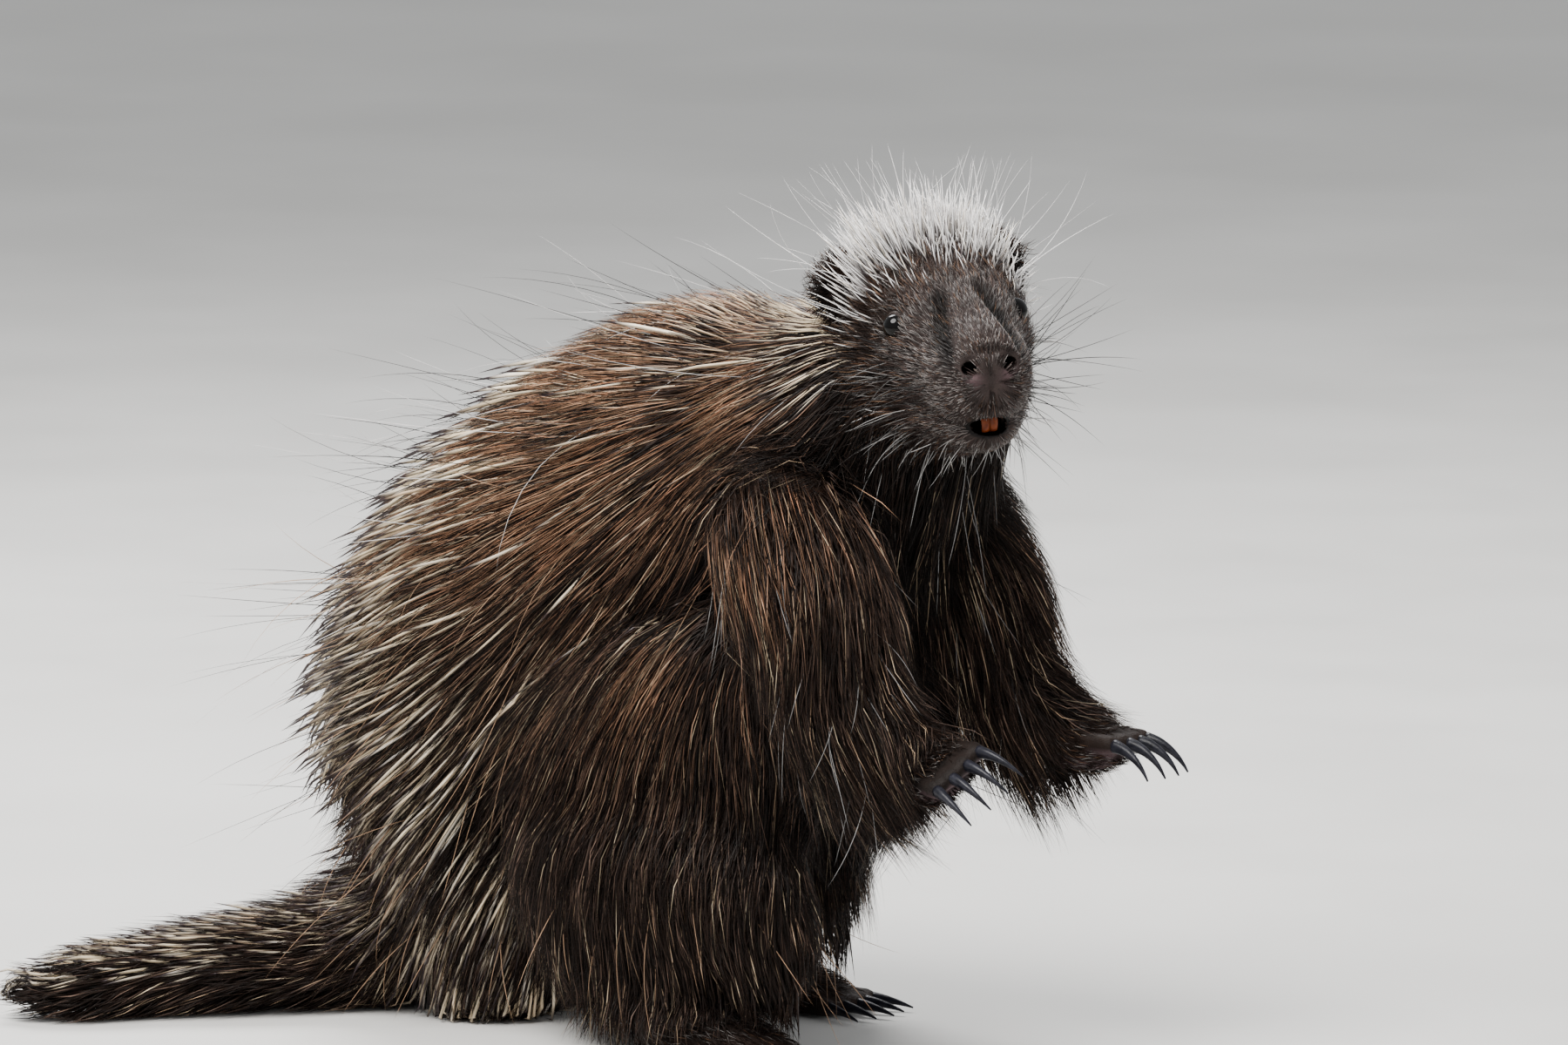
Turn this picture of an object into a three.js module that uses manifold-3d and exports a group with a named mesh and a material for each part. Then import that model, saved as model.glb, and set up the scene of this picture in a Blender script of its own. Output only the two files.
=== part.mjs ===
// A North American porcupine sitting up on its haunches, life size, in millimetres.
// +X is the way the body faces, +Y its left side and +Z up. The floor is z = 0, and the finished
// group is moved so that the origin is on the floor under the middle of the whole animal.
// The head turns to the animal's right, both forelegs are held off the floor in front of the
// chest, the hind feet stand flat and the tail lies on the floor behind, bent to the right.
import * as THREE from "three";
import { mergeVertices } from "three/addons/utils/BufferGeometryUtils.js";
import Module from "manifold-3d";

const wasm = await Module();
wasm.setup();

// Driving sizes
const GAP = 0.35; // clear space that touching pieces keep
const CORNER_GROW = 1.3; // a corner moves this much further than the faces round it
const FINEST = 0.08; // steps smaller than this are closed up after a union or a cut
const CORE_SHARE = 0.45; // how far out through the coat a node's smooth core reaches
const COAT_FLOOR = 4; // the coat stops this high above the floor
const FLOOR_SIZE = 1200; // the block that cuts off what is under the floor
const SAMPLES = 60; // sections along a body that tell how high a place lies over it
const END_ROUND = 8; // how far past its ends a body still counts as near
const SEED = 41;

// A station is [x, y, z, half width, half depth, coat depth]: one section of the skin of a body
// part and the depth of the coat that grows there.
const TORSO = [
  [-58, 0, 22, 54, 38, 14],
  [-64, 0, 96, 72, 50, 20],
  [-68, 0, 160, 88, 71, 42],
  [-40, 0, 225, 98, 90, 44],
  [20, 0, 276, 97, 97, 40],
  [85, 0, 312, 88, 98, 40],
  [140, 2, 339, 74, 86, 38],
  [174, 4, 360, 56, 64, 32],
];
const FLANK_FOLD = [
  [-34, 46, 150, 18, 26, 10],
  [0, 54, 162, 32, 48, 16],
  [50, 58, 178, 40, 60, 20],
  [100, 60, 192, 41, 62, 20],
  [150, 61, 205, 36, 60, 20],
  [178, 61, 212, 24, 42, 14],
  [186, 61, 213, 10, 18, 8],
];
const NECK = [
  [120, 2, 322, 58, 62, 28],
  [162, 8, 350, 62, 62, 32],
  [200, 12, 378, 61, 52, 32],
  [230, 6, 400, 48, 40, 24],
];
const TAIL = [
  [-66, 2, 52, 32, 30, 12],
  [-112, -6, 46, 38, 33, 18],
  [-154, -38, 33, 36, 26, 20],
  [-192, -84, 27, 31, 21, 20],
  [-228, -132, 22, 24, 16, 18],
  [-254, -174, 18, 15, 11, 16],
  [-264, -190, 17, 6, 5, 10],
];

// The head's own frame has +x towards the nose. Its origin lies between the ears.
const HEAD_AT = [240, -12, 417];
const HEAD_TURN = -40; // degrees, to the animal's right
const HEAD_TILT = 6; // degrees, right side down
const SKULL = [
  [-60, 0, 2, 20, 20, 14],
  [-44, 0, 3, 36, 36, 22],
  [-20, 0, -1, 44, 43, 22],
  [6, 0, -3, 43, 44, 11],
  [28, 0, -7, 39, 41, 4],
  [48, 0, -12, 33, 36, 2],
  [66, 0, -15, 31, 31, 1.5],
  [78, 0, -17, 27, 27, 1],
  [86, 0, -18, 21, 21, 1],
  [90, 0, -18, 14, 14, 1],
  [91.5, 0, -18, 5, 5, 1],
];
const JAW = [
  [-24, 0, -26, 28, 24, 8],
  [10, 0, -35, 38, 26, 7],
  [38, 0, -41, 30, 21, 4],
  [60, 0, -46, 22, 15, 3],
  [72, 0, -48, 14, 10, 2],
  [78, 0, -48, 6, 5, 1],
];
const EYE = { along: 24, angle: 24, radius: 7.5, proud: 2.8, lid: 1.6 };
const EAR = { at: [-42, 47, 25], facing: [0.72, 0.66, 0.2], size: [7, 13, 16], cup: [6, 9.5, 12.5] };
const NOSTRIL = { at: [86, 10, -9], size: [8, 5, 3.4] };
const MOUTH = { at: [76, 0, -41.5], size: [22, 14, 4] };
const INCISOR = { at: [75, 2.3, -41], halfWidth: 2.5, halfThick: 1.6, height: 13, bow: 2.5 };

// Legs are drawn for the left side, and the right side mirrors them in y. A leg's reach moves its
// lower end forwards, and a hind leg as a whole moves by its stride.
const SIDES = { left: 1, right: -1 };
const REACH = { left: 0, right: -2 };
const STRIDE = { left: -22, right: 64 };
const PAW_TURN = { left: 0, right: -28 }; // degrees, about the wrist
const PAW_ROLL = { left: 0, right: 38 }; // degrees, its outer side down
const FORELEG = [
  [140, 46, 312, 34, 36, 10],
  [166, 60, 300, 39, 41, 18],
  [202, 73, 256, 32, 33, 24],
  [218, 78, 212, 25, 27, 22],
  [242, 75, 190, 22, 24, 14],
  [260, 72, 182, 19, 19, 7],
];
const FOREPAW = [
  [254, 73, 184, 16, 16, 5],
  [270, 71, 178, 19, 17, 4],
  [290, 69, 176, 20, 14, 3],
  [303, 68, 178, 16, 9, 2],
];
const HINDLEG = [
  [-48, 44, 112, 34, 44, 10],
  [-20, 62, 108, 40, 54, 16],
  [30, 72, 98, 38, 57, 18],
  [76, 79, 86, 33, 48, 18],
  [100, 83, 66, 25, 34, 14],
  [106, 85, 52, 12, 16, 8],
];
const HINDFOOT = [
  [26, 84, 20, 14, 14, 3],
  [42, 85, 17, 21, 18, 4],
  [80, 87, 14, 24, 16, 4],
  [108, 89, 10, 23, 11, 3],
  [122, 90, 8, 17, 6, 2],
];
const FORE_TOES = { count: 4, at: [303, 68, 180], spread: 9.6, fan: 6, length: 15, radius: 6.2 };
const FORE_CLAWS = { length: 31, radius: 3.5, curl: 56, droop: 6 };
const HIND_TOES = { count: 5, at: [120, 90, 7], spread: 9.4, fan: 7, length: 15, radius: 5.8 };
const CLAW_SINK = 1.5; // how far inside its toe a claw is drawn, before the toe is cut from it
const TOE_STEP = 2.4; // each toe lies this much behind the one nearer the middle of the foot
const HIND_CLAWS = { length: 25, radius: 3.1, curl: 16, droop: 2 };

// Coats. Roots stand about spacing apart, and a strand is length long and has steps straight
// stretches. Its section is a flat lock, or a spine where halfThick is near halfWidth. It is sunk
// into the core by sink, and its tip stands tips times the coat's depth off the body.
const LOCKS = { halfThick: 2.4, sink: 7, tips: 0.95, steps: 2 };
const SPINES = { sink: 5, tips: 1.15, steps: 1 };
const BACK_LOCKS = { ...LOCKS, spacing: 45, length: 104, halfWidth: 17, sink: 8, steps: 3 };
const FLANK_LOCKS = { ...BACK_LOCKS, length: 124, tips: 0.85 };
const NECK_LOCKS = { ...LOCKS, spacing: 34, length: 74, halfWidth: 15 };
const LEG_LOCKS = { ...LOCKS, spacing: 42, length: 66, halfWidth: 15, sink: 5, tips: 0.85 };
const TAIL_LOCKS = { ...LEG_LOCKS, spacing: 34, length: 64, halfWidth: 12 };
const CHEEK_LOCKS = { ...LOCKS, spacing: 17, length: 36, halfWidth: 6, halfThick: 1.6, sink: 5, tips: 0.8 };
const RUMP_SPINES = { ...SPINES, spacing: 30, length: 80, halfWidth: 2.8, halfThick: 1.9, sink: 9 };
const CROWN_SPINES = { ...SPINES, spacing: 13, length: 46, halfWidth: 1.9, halfThick: 1.4, tips: 1.6 };
const HANG = 30; // how far hair under a body hangs off it at most
const CLEARANCE = 2; // how far a strand keeps off the body next to its own
const LIFT = 3; // a strand is lifted clear of such a body in steps of this size
const LIFTS = 9;
const SWING = 0.07; // how far a strand turns aside, for each unit along it
const STRAY = 0.24; // how far a root stands off its place in its row, as a share of the spacing
const STRAND = { taper: 2.2, root: 0.8, swell: 0.6, ridge: 1.6 }; // shares of the half width and thickness
const STRAND_GROW = { wide: 3.6, ridge: 1.3, point: 6 }; // for each unit that all its faces move out
const BODY_LIE = { slope: 32, perLength: 0.22, perDrop: 0.26, from: [-100, 250], least: 5, most: 92 };
const CROWN_RISE = 0.75; // how much the lie on the head turns out of the skin
const LEG_LIE = { along: 0.6, down: 0.8 };
const HIND_LIE = [0.42, 0, -0.9];
const TAIL_RISE = 0.25;

const { degToRad, clamp } = THREE.MathUtils;
const point = (xyz) => new THREE.Vector3(...xyz);

// Seeded draws between two numbers.
function draws(seed) {
  let state = seed;
  return (low, high) => {
    state = (state + 0x6d2b79f5) | 0;
    let mixed = Math.imul(state ^ (state >>> 15), 1 | state);
    mixed = (mixed + Math.imul(mixed ^ (mixed >>> 7), 61 | mixed)) ^ mixed;
    return low + ((high - low) * ((mixed ^ (mixed >>> 14)) >>> 0)) / 2 ** 32;
  };
}
const between = draws(SEED);

// A smooth body through stations, in its own frame. ref is the direction of the half widths.
class Loft {
  constructor(stations, { ref = [0, 1, 0], sides = 14, perSpan = 2, frame = new THREE.Matrix4() } = {}) {
    const through = (from) => {
      const points = stations.map((station) => point(station.slice(from, from + 3)));
      return new THREE.CatmullRomCurve3(points, false, "catmullrom", 0.5);
    };
    this.centre = through(0);
    this.size = through(3);
    this.ref = point(ref);
    this.frame = frame;
    this.sides = sides;
    this.rings = (stations.length - 1) * perSpan + 1;
    this.samples = Array.from({ length: SAMPLES + 1 }, (_, i) => this.section(i / SAMPLES, CORE_SHARE));
  }

  section(t, share) {
    const size = this.size.getPoint(t);
    const along = this.centre.getTangent(t);
    const side = this.ref.clone().addScaledVector(along, -along.dot(this.ref)).normalize();
    const up = along.clone().cross(side);
    return {
      centre: this.centre.getPoint(t).applyMatrix4(this.frame),
      along: along.transformDirection(this.frame),
      side: side.transformDirection(this.frame),
      up: up.transformDirection(this.frame),
      halfSide: size.x + size.z * share,
      halfUp: size.y + size.z * share,
      coat: size.z,
    };
  }

  point(t, angle, share) {
    const s = this.section(t, share);
    return s.centre
      .addScaledVector(s.side, Math.cos(angle) * s.halfSide)
      .addScaledVector(s.up, Math.sin(angle) * s.halfUp);
  }

  // With grow, every corner moves out along its normal by at least that much.
  geometry(share = CORE_SHARE, grow = 0) {
    const points = [];
    for (let i = 0; i < this.rings; i++)
      for (let j = 0; j < this.sides; j++)
        points.push(this.point(i / (this.rings - 1), (j / this.sides) * 2 * Math.PI, share));
    const first = points.length;
    points.push(this.section(0, 0).centre, this.section(1, 0).centre);
    const faces = [];
    for (let j = 0; j < this.sides; j++) {
      const k = (j + 1) % this.sides;
      faces.push(first, k, j);
      for (let i = 0; i + 1 < this.rings; i++) {
        const [a, b] = [i * this.sides + j, i * this.sides + k];
        faces.push(a, b, b + this.sides, a, b + this.sides, a + this.sides);
      }
      const last = (this.rings - 1) * this.sides;
      faces.push(first + 1, last + j, last + k);
    }
    const made = new THREE.BufferGeometry().setFromPoints(points).setIndex(faces);
    made.computeVertexNormals();
    const [at, normal] = [made.getAttribute("position"), made.getAttribute("normal")];
    for (let i = 0; i < at.array.length; i++) at.array[i] += normal.array[i] * grow * CORNER_GROW;
    return made;
  }

  // The way out of the body at a place on or near it, and the height over the core there.
  over(place) {
    let [nearest, least] = [null, Infinity];
    for (const sample of this.samples) {
      const distance = sample.centre.distanceToSquared(place);
      if (distance < least) [nearest, least] = [sample, distance];
    }
    const away = place.clone().sub(nearest.centre);
    const [a, b] = [away.dot(nearest.side) / nearest.halfSide, away.dot(nearest.up) / nearest.halfUp];
    const out = nearest.side.clone().multiplyScalar(a / nearest.halfSide);
    out.addScaledVector(nearest.up, b / nearest.halfUp).normalize();
    const beyond = Math.abs(away.dot(nearest.along));
    const across = Math.hypot(a * nearest.halfSide, b * nearest.halfUp);
    const height = Math.max(across * (1 - 1 / Math.max(Math.hypot(a, b), 0.01)), beyond - END_ROUND);
    return { out, height, coat: nearest.coat, along: nearest.along };
  }
}

// A closed geometry as a solid that can be joined and cut.
function solid(geometry, matrix = new THREE.Matrix4()) {
  const plain = geometry.clone().applyMatrix4(matrix);
  plain.deleteAttribute("normal");
  plain.deleteAttribute("uv");
  const merged = mergeVertices(plain, 1e-4);
  return new wasm.Manifold(
    new wasm.Mesh({
      numProp: 3,
      vertProperties: merged.attributes.position.array,
      triVerts: new Uint32Array(merged.index.array),
    }),
  );
}

const join = (...solids) => wasm.Manifold.union(solids.flat());
const mirrored = ([x, y, z], side) => [x, y * side, z];

// Only the largest closed surface of a joined or cut solid is kept.
function largest(body) {
  const pieces = body.simplify(FINEST).decompose();
  pieces.sort((a, b) => b.volume() - a.volume());
  return pieces[0];
}

// A frame with x along facing and z as near as can be to up.
function looking(at, facing, up = new THREE.Vector3(0, 0, 1)) {
  const x = facing.clone().normalize();
  const y = up.clone().cross(x).normalize();
  return new THREE.Matrix4().makeBasis(x, y, x.clone().cross(y)).setPosition(at);
}

// An ellipsoid in a frame.
function ellipsoid(frame, [x, y, z], segments = 10) {
  const place = frame.clone().multiply(new THREE.Matrix4().makeScale(x, y, z));
  return solid(new THREE.SphereGeometry(1, segments, Math.ceil(segments * 0.65)), place);
}

// One strand of coat along a path. Its section is a triangle with a ridge on the outside, widest
// a third of the way out, and it ends in a point. The shares of grow keep all three faces and the
// point that far off the plain strand.
function strand(path, { halfWidth, halfThick }, grow) {
  const corners = [];
  const last = path.length - 1;
  for (let i = 0; i < last; i++) {
    const along = path[i + 1].at.clone().sub(path[Math.max(i - 1, 0)].at).normalize();
    const across = along.clone().cross(path[i].out).normalize();
    const out = across.clone().cross(along);
    const share = i / last;
    const taper = (1 - share ** STRAND.taper) * (STRAND.root + STRAND.swell * share);
    const wide = halfWidth * taper + grow * STRAND_GROW.wide;
    const under = halfThick * taper + grow;
    const ridge = halfThick * taper * STRAND.ridge + grow * STRAND_GROW.ridge;
    corners.push(path[i].at.clone().addScaledVector(across, wide).addScaledVector(out, -under));
    corners.push(path[i].at.clone().addScaledVector(across, -wide).addScaledVector(out, -under));
    corners.push(path[i].at.clone().addScaledVector(out, ridge));
  }
  const heading = path[last].at.clone().sub(path[last - 1].at).normalize();
  corners.push(path[last].at.clone().addScaledVector(heading, grow * STRAND_GROW.point));
  const faces = [0, 2, 1];
  for (let i = 0; i < last; i++)
    for (let j = 0; j < 3; j++) {
      const [a, b] = [i * 3 + j, i * 3 + ((j + 1) % 3)];
      if (i === last - 1) faces.push(a, b, last * 3);
      else faces.push(a, b, b + 3, a, b + 3, a + 3);
    }
  return solid(new THREE.BufferGeometry().setFromPoints(corners).setIndex(faces));
}

// Lifts a point of a strand until it and the stretch from the last point clear the bodies beside
// by the room given. It says whether that was reached.
function lifted(at, last, out, beside, room) {
  const isClear = (place) => beside.every((other) => other.over(place).height >= room);
  for (let lift = 0; lift < LIFTS; lift++) {
    if (isClear(at) && isClear(last.clone().lerp(at, 0.6))) return true;
    at.addScaledVector(out, LIFT);
  }
  return false;
}

// The path of a strand that leaves the core at a root, follows the lie of the coat and rises to
// its tip. It hangs free where the body draws back under it, and ends early where it would meet
// the floor or can't be lifted clear of the bodies next to its own.
function pathFrom(root, body, look) {
  const length = look.length * between(0.85, 1.15);
  const tips = look.tips * between(0.85, 1.1);
  const start = body.loft.over(root);
  const path = [{ at: root.clone().addScaledVector(start.out, -look.sink), out: start.out }];
  const at = root.clone();
  const swing = between(-SWING, SWING);
  for (let step = 1; step <= look.steps; step++) {
    const lie = body.lie(at, body.loft.over(at));
    lie.addScaledVector(lie.clone().cross(start.out), swing).normalize();
    at.addScaledVector(lie, length / look.steps);
    const { height, out, coat } = body.loft.over(at);
    const top = coat * (1 - CORE_SHARE) * tips * (step / look.steps) + look.halfThick;
    const hang = HANG * Math.max(-out.z, 0) + top;
    at.addScaledVector(out, clamp(height, top * 0.8, hang) - height);
    const free = lifted(at, path.at(-1).at, out, body.beside, look.halfThick + CLEARANCE);
    if (!free || at.z < COAT_FLOOR + look.halfThick) break;
    path.push({ at: at.clone(), out });
  }
  return path;
}

// The strands of one coat, with their roots in staggered rows over the body, from one share of
// its length to another. wanted says of a root whether a strand grows there.
function coat(body, look, { from = 0, to = 1, wanted = () => true } = {}) {
  const { loft } = body;
  const length = loft.centre.getLength() * (to - from);
  const rows = Math.max(Math.round(length / look.spacing), 1);
  const paths = [];
  const at = (place) => loft.centre.getUtoTmapping(from + ((to - from) * place) / rows);
  for (let row = 0; row < rows; row++) {
    const middle = loft.section(at(row + 0.5), CORE_SHARE);
    const around = Math.round((Math.PI * (middle.halfSide + middle.halfUp)) / look.spacing);
    for (let k = 0; k < around; k++) {
      const place = at(row + 0.5 + between(-STRAY, STRAY));
      const turn = (k + (row % 2) / 2 + between(-STRAY, STRAY)) / around;
      const root = loft.point(place, turn * 2 * Math.PI, CORE_SHARE);
      const here = loft.over(root);
      if (body.beside.some((other) => other.over(root).height < look.sink)) continue;
      if (root.z < COAT_FLOOR + look.sink || !wanted(root, here)) continue;
      const path = pathFrom(root, body, look);
      if (path.length > 1) paths.push(path);
    }
  }
  return paths.map((path) => ({ path, look }));
}

// Materials
const paint = (color, roughness) => new THREE.MeshStandardMaterial({ color, roughness, metalness: 0 });
const coatPaint = paint(0x2e211b, 0.85);
const headPaint = paint(0x3a302b, 0.85);
const pawPaint = paint(0x33251f, 0.8);
const eyePaint = paint(0x0a0808, 0.08);
const clawPaint = paint(0x2a2530, 0.3);
const toothPaint = paint(0xb5541c, 0.35);

const porcupine = new THREE.Group();
porcupine.name = "porcupine";

function add(name, body, material) {
  const mesh = largest(body).getMesh();
  const positions = new Float32Array(mesh.numVert * 3);
  for (let i = 0; i < mesh.numVert; i++)
    positions.set(mesh.vertProperties.subarray(i * mesh.numProp, i * mesh.numProp + 3), i * 3);
  const geometry = new THREE.BufferGeometry()
    .setAttribute("position", new THREE.BufferAttribute(positions, 3))
    .setIndex(new THREE.BufferAttribute(new Uint32Array(mesh.triVerts), 1));
  geometry.computeVertexNormals();
  const made = new THREE.Mesh(geometry, material);
  made.name = name;
  porcupine.add(made);
}

// Body forms
const headFrame = new THREE.Matrix4()
  .makeTranslation(...HEAD_AT)
  .multiply(new THREE.Matrix4().makeRotationZ(degToRad(HEAD_TURN)))
  .multiply(new THREE.Matrix4().makeRotationX(degToRad(HEAD_TILT)));
const limb = (stations, side, shift) =>
  stations.map(([x, y, ...rest], i) => [x + shift(i / (stations.length - 1)), y * side, ...rest]);

// A forepaw's frame is turned and rolled about its wrist.
function pawFrame(word) {
  const [x, y, z] = FOREPAW[0];
  const wrist = point([x + REACH[word], y * SIDES[word], z]);
  const turned = new THREE.Matrix4().makeRotationZ(degToRad(PAW_TURN[word]));
  const rolled = new THREE.Matrix4().makeRotationX(degToRad(PAW_ROLL[word] * -SIDES[word]));
  const back = new THREE.Matrix4().makeTranslation(wrist.clone().negate());
  return new THREE.Matrix4().makeTranslation(wrist).multiply(turned).multiply(rolled).multiply(back);
}

const lofts = {
  head: new Loft(SKULL, { sides: 18, frame: headFrame }),
  neck: new Loft(NECK, { ref: [0.35, 1, 0], sides: 14 }),
  torso: new Loft(TORSO, { sides: 18 }),
  tail: new Loft(TAIL, { sides: 12 }),
};
const jaw = new Loft(JAW, { sides: 12, frame: headFrame });
for (const [word, side] of Object.entries(SIDES)) {
  const reach = (share) => REACH[word] * share;
  lofts["foreleg_" + word] = new Loft(limb(FORELEG, side, reach), { sides: 12 });
  lofts["forepaw_" + word] = new Loft(limb(FOREPAW, side, () => REACH[word]), {
    sides: 10,
    perSpan: 1,
    frame: pawFrame(word),
  });
  lofts["hindleg_" + word] = new Loft(limb(HINDLEG, side, () => STRIDE[word]), { sides: 12 });
  lofts["hindfoot_" + word] = new Loft(limb(HINDFOOT, side, () => STRIDE[word]), { sides: 10, perSpan: 1 });
}

// Cores, and the same grown by the gap for what they cut away from their neighbours
const cores = {};
const clears = {};
for (const [name, loft] of Object.entries(lofts)) {
  const forms = name === "head" ? [loft, jaw] : [loft];
  cores[name] = join(forms.map((form) => solid(form.geometry())));
  clears[name] = join(forms.map((form) => solid(form.geometry(CORE_SHARE, GAP))));
}

// The loose skin between elbow and knee is part of the torso.
const folds = {};
for (const [word, side] of Object.entries(SIDES)) {
  folds[word] = new Loft(limb(FLANK_FOLD, side, () => 0), { sides: 12, perSpan: 1 });
  cores.torso = join(cores.torso, solid(folds[word].geometry()));
  clears.torso = join(clears.torso, solid(folds[word].geometry(CORE_SHARE, GAP)));
}

// Toes and claws. A toe ends in a small flat, and its claw, curved down, starts at that flat.
function toe({ length, radius }, frame, grow) {
  const stations = [[-1, 0.8], [0, 1], [1, 0.78]].map(([place, share]) => {
    const half = radius * share + grow * CORNER_GROW;
    return [place * (length + grow), 0, 0, half, half, 0];
  });
  return solid(new Loft(stations, { sides: 6, perSpan: 1, frame }).geometry(0));
}
function claw({ length, radius, curl, droop }, frame, grow) {
  const stations = [0, 0.34, 0.7, 1].map((share) => {
    const turn = degToRad(droop + (curl * share) / 2);
    const [wide, deep] = [radius * (1 - share * 0.88), radius * (1.15 - share)];
    return [Math.cos(turn) * share * length, 0, -Math.sin(turn) * share * length, wide, deep, 0];
  });
  return solid(new Loft(stations, { sides: 5, perSpan: 1, frame }).geometry(0, grow));
}
const claws = [];
for (const [word, side] of Object.entries(SIDES)) {
  for (const [name, toes, look, reach, footFrame] of [
    ["forepaw", FORE_TOES, FORE_CLAWS, REACH[word], pawFrame(word)],
    ["hindfoot", HIND_TOES, HIND_CLAWS, STRIDE[word], new THREE.Matrix4()],
  ]) {
    const foot = name + "_" + word;
    for (let i = 0; i < toes.count; i++) {
      const step = i - (toes.count - 1) / 2;
      const x = toes.at[0] + reach - Math.abs(step) * TOE_STEP;
      const at = point([x, (toes.at[1] + step * toes.spread) * side, toes.at[2]]);
      const fan = degToRad(step * toes.fan * side);
      const straight = looking(at, new THREE.Vector3(Math.cos(fan), Math.sin(fan), 0));
      const frame = footFrame.clone().multiply(straight);
      const ahead = new THREE.Matrix4().makeTranslation(toes.length - CLAW_SINK, 0, 0);
      const root = frame.clone().multiply(ahead);
      cores[foot] = join(cores[foot], toe(toes, frame, 0));
      clears[foot] = join(clears[foot], toe(toes, frame, GAP), claw(look, root, GAP));
      const body = claw(look, root, 0).subtract(toe(toes, frame, GAP));
      claws.push({ name: `claw_${name.slice(0, 4)}_${word}_${i + 1}`, body });
    }
  }
}

// Ears, each a shell with a cup in its front
const inHead = (at, side = 1) => point(mirrored(at, side)).applyMatrix4(headFrame);
for (const [word, side] of Object.entries(SIDES)) {
  const facing = inHead(EAR.facing, side).sub(inHead([0, 0, 0]));
  const frame = looking(inHead(EAR.at, side), facing);
  const cupFrame = frame.clone().multiply(new THREE.Matrix4().makeTranslation(EAR.size[0] * 0.75, 0, 1));
  const shell = ellipsoid(frame, EAR.size, 10).subtract(ellipsoid(cupFrame, EAR.cup, 8));
  add("ear_" + word, shell.subtract(clears.head).subtract(clears.neck), headPaint);
  clears["ear_" + word] = ellipsoid(frame, EAR.size.map((half) => half + GAP), 10);
}

// The lie of the coat at a place on each body
const down = new THREE.Vector3(0, 0, -1);
function bodyLie(at) {
  const [back, top] = BODY_LIE.from;
  const steeper = BODY_LIE.perLength * (at.x - back) + BODY_LIE.perDrop * (top - at.z);
  const slope = degToRad(clamp(BODY_LIE.slope + steeper, BODY_LIE.least, BODY_LIE.most));
  return new THREE.Vector3(-Math.cos(slope), 0, -Math.sin(slope));
}
const noseTip = point([120, 0, -24]).applyMatrix4(headFrame);
function headLie(at, here) {
  return at.clone().sub(noseTip).normalize().addScaledVector(here.out, CROWN_RISE).normalize();
}
function legLie(at, here) {
  return here.along.clone().multiplyScalar(LEG_LIE.along).addScaledVector(down, LEG_LIE.down).normalize();
}
function hindLie() {
  return point(HIND_LIE).normalize();
}
function tailLie(at, here) {
  return here.along.clone().addScaledVector(here.out, TAIL_RISE).normalize();
}

const body = (name, lie, ...beside) => ({
  loft: lofts[name],
  lie,
  beside: beside.map((other) => lofts[other]),
});
const legs = ["foreleg_left", "foreleg_right", "hindleg_left", "hindleg_right"];
const torsoBody = body("torso", bodyLie, "neck", ...legs);
const neckBody = body("neck", bodyLie, "head", "torso");
const headBody = body("head", headLie, "neck");
const tailBody = body("tail", tailLie, "torso");

// Coats
const standing = (root, here) => bodyLie(root).dot(here.out);
const onRump = (root, here) => standing(root, here) > 0.35 && here.out.x < -0.1;
const onBack = (root, here) => standing(root, here) < 0.5 && here.out.z > 0.1;
const onFlank = (root, here) => here.out.z <= 0.1 && (standing(root, here) < 0.5 || here.out.x >= -0.1);
const locks = {
  head: [
    ...coat(headBody, CROWN_SPINES, { from: 0.04, to: 0.52, wanted: (root, here) => here.out.z > 0.1 }),
    ...coat(headBody, CHEEK_LOCKS, { from: 0.1, to: 0.55, wanted: (root, here) => here.out.z <= 0.1 }),
  ],
  neck: coat(neckBody, NECK_LOCKS, { from: 0.42 }),
  torso: [
    ...coat(torsoBody, BACK_LOCKS, { wanted: onBack }),
    ...coat(torsoBody, FLANK_LOCKS, { wanted: onFlank }),
    ...coat(torsoBody, RUMP_SPINES, { wanted: onRump }),
  ],
  tail: coat(tailBody, TAIL_LOCKS, { to: 0.86, wanted: (root, here) => here.out.z > -0.35 }),
};
for (const word of Object.keys(SIDES)) {
  const foreleg = body("foreleg_" + word, legLie, "torso", "neck", "forepaw_" + word);
  const hindleg = body("hindleg_" + word, hindLie, "torso", "hindfoot_" + word);
  foreleg.beside.push(folds[word]);
  hindleg.beside.push(folds[word]);
  locks["foreleg_" + word] = coat(foreleg, LEG_LOCKS, { from: 0.06, to: 0.92 });
  const outside = (root, here) => here.out.z > -0.7;
  locks["hindleg_" + word] = coat(hindleg, LEG_LOCKS, { from: 0.1, to: 0.95, wanted: outside });
}

const hair = (name, grow) => join((locks[name] ?? []).map(({ path, look }) => strand(path, look, grow)));

// A core gives way to the cores named here, and every coat gives way to all other cores and to
// the coats before its own in this order.
const GIVES_WAY = {
  head: [],
  neck: ["torso", "head"],
  foreleg_left: ["torso", "neck"],
  foreleg_right: ["torso", "neck"],
  torso: [],
  hindleg_left: ["torso"],
  hindleg_right: ["torso"],
  tail: ["torso"],
  forepaw_left: ["foreleg_left"],
  forepaw_right: ["foreleg_right"],
  hindfoot_left: ["hindleg_left"],
  hindfoot_right: ["hindleg_right"],
};
const floorBlock = new THREE.BoxGeometry(FLOOR_SIZE, FLOOR_SIZE, FLOOR_SIZE);
const belowFloor = solid(floorBlock.translate(0, 0, -FLOOR_SIZE / 2));
const belowCoat = belowFloor.translate([0, 0, COAT_FLOOR]);
const dressed = {};
const hairClears = [];
for (const [name, others] of Object.entries(GIVES_WAY)) {
  const around = others.map((other) => clears[other]);
  const core = cores[name].subtract(join(around, belowFloor));
  const apart = Object.keys(clears).filter((other) => other !== name).map((other) => clears[other]);
  const coatOf = hair(name, 0).subtract(join(apart, hairClears, belowCoat));
  dressed[name] = join(largest(core), coatOf);
  hairClears.push(hair(name, GAP));
}

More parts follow.
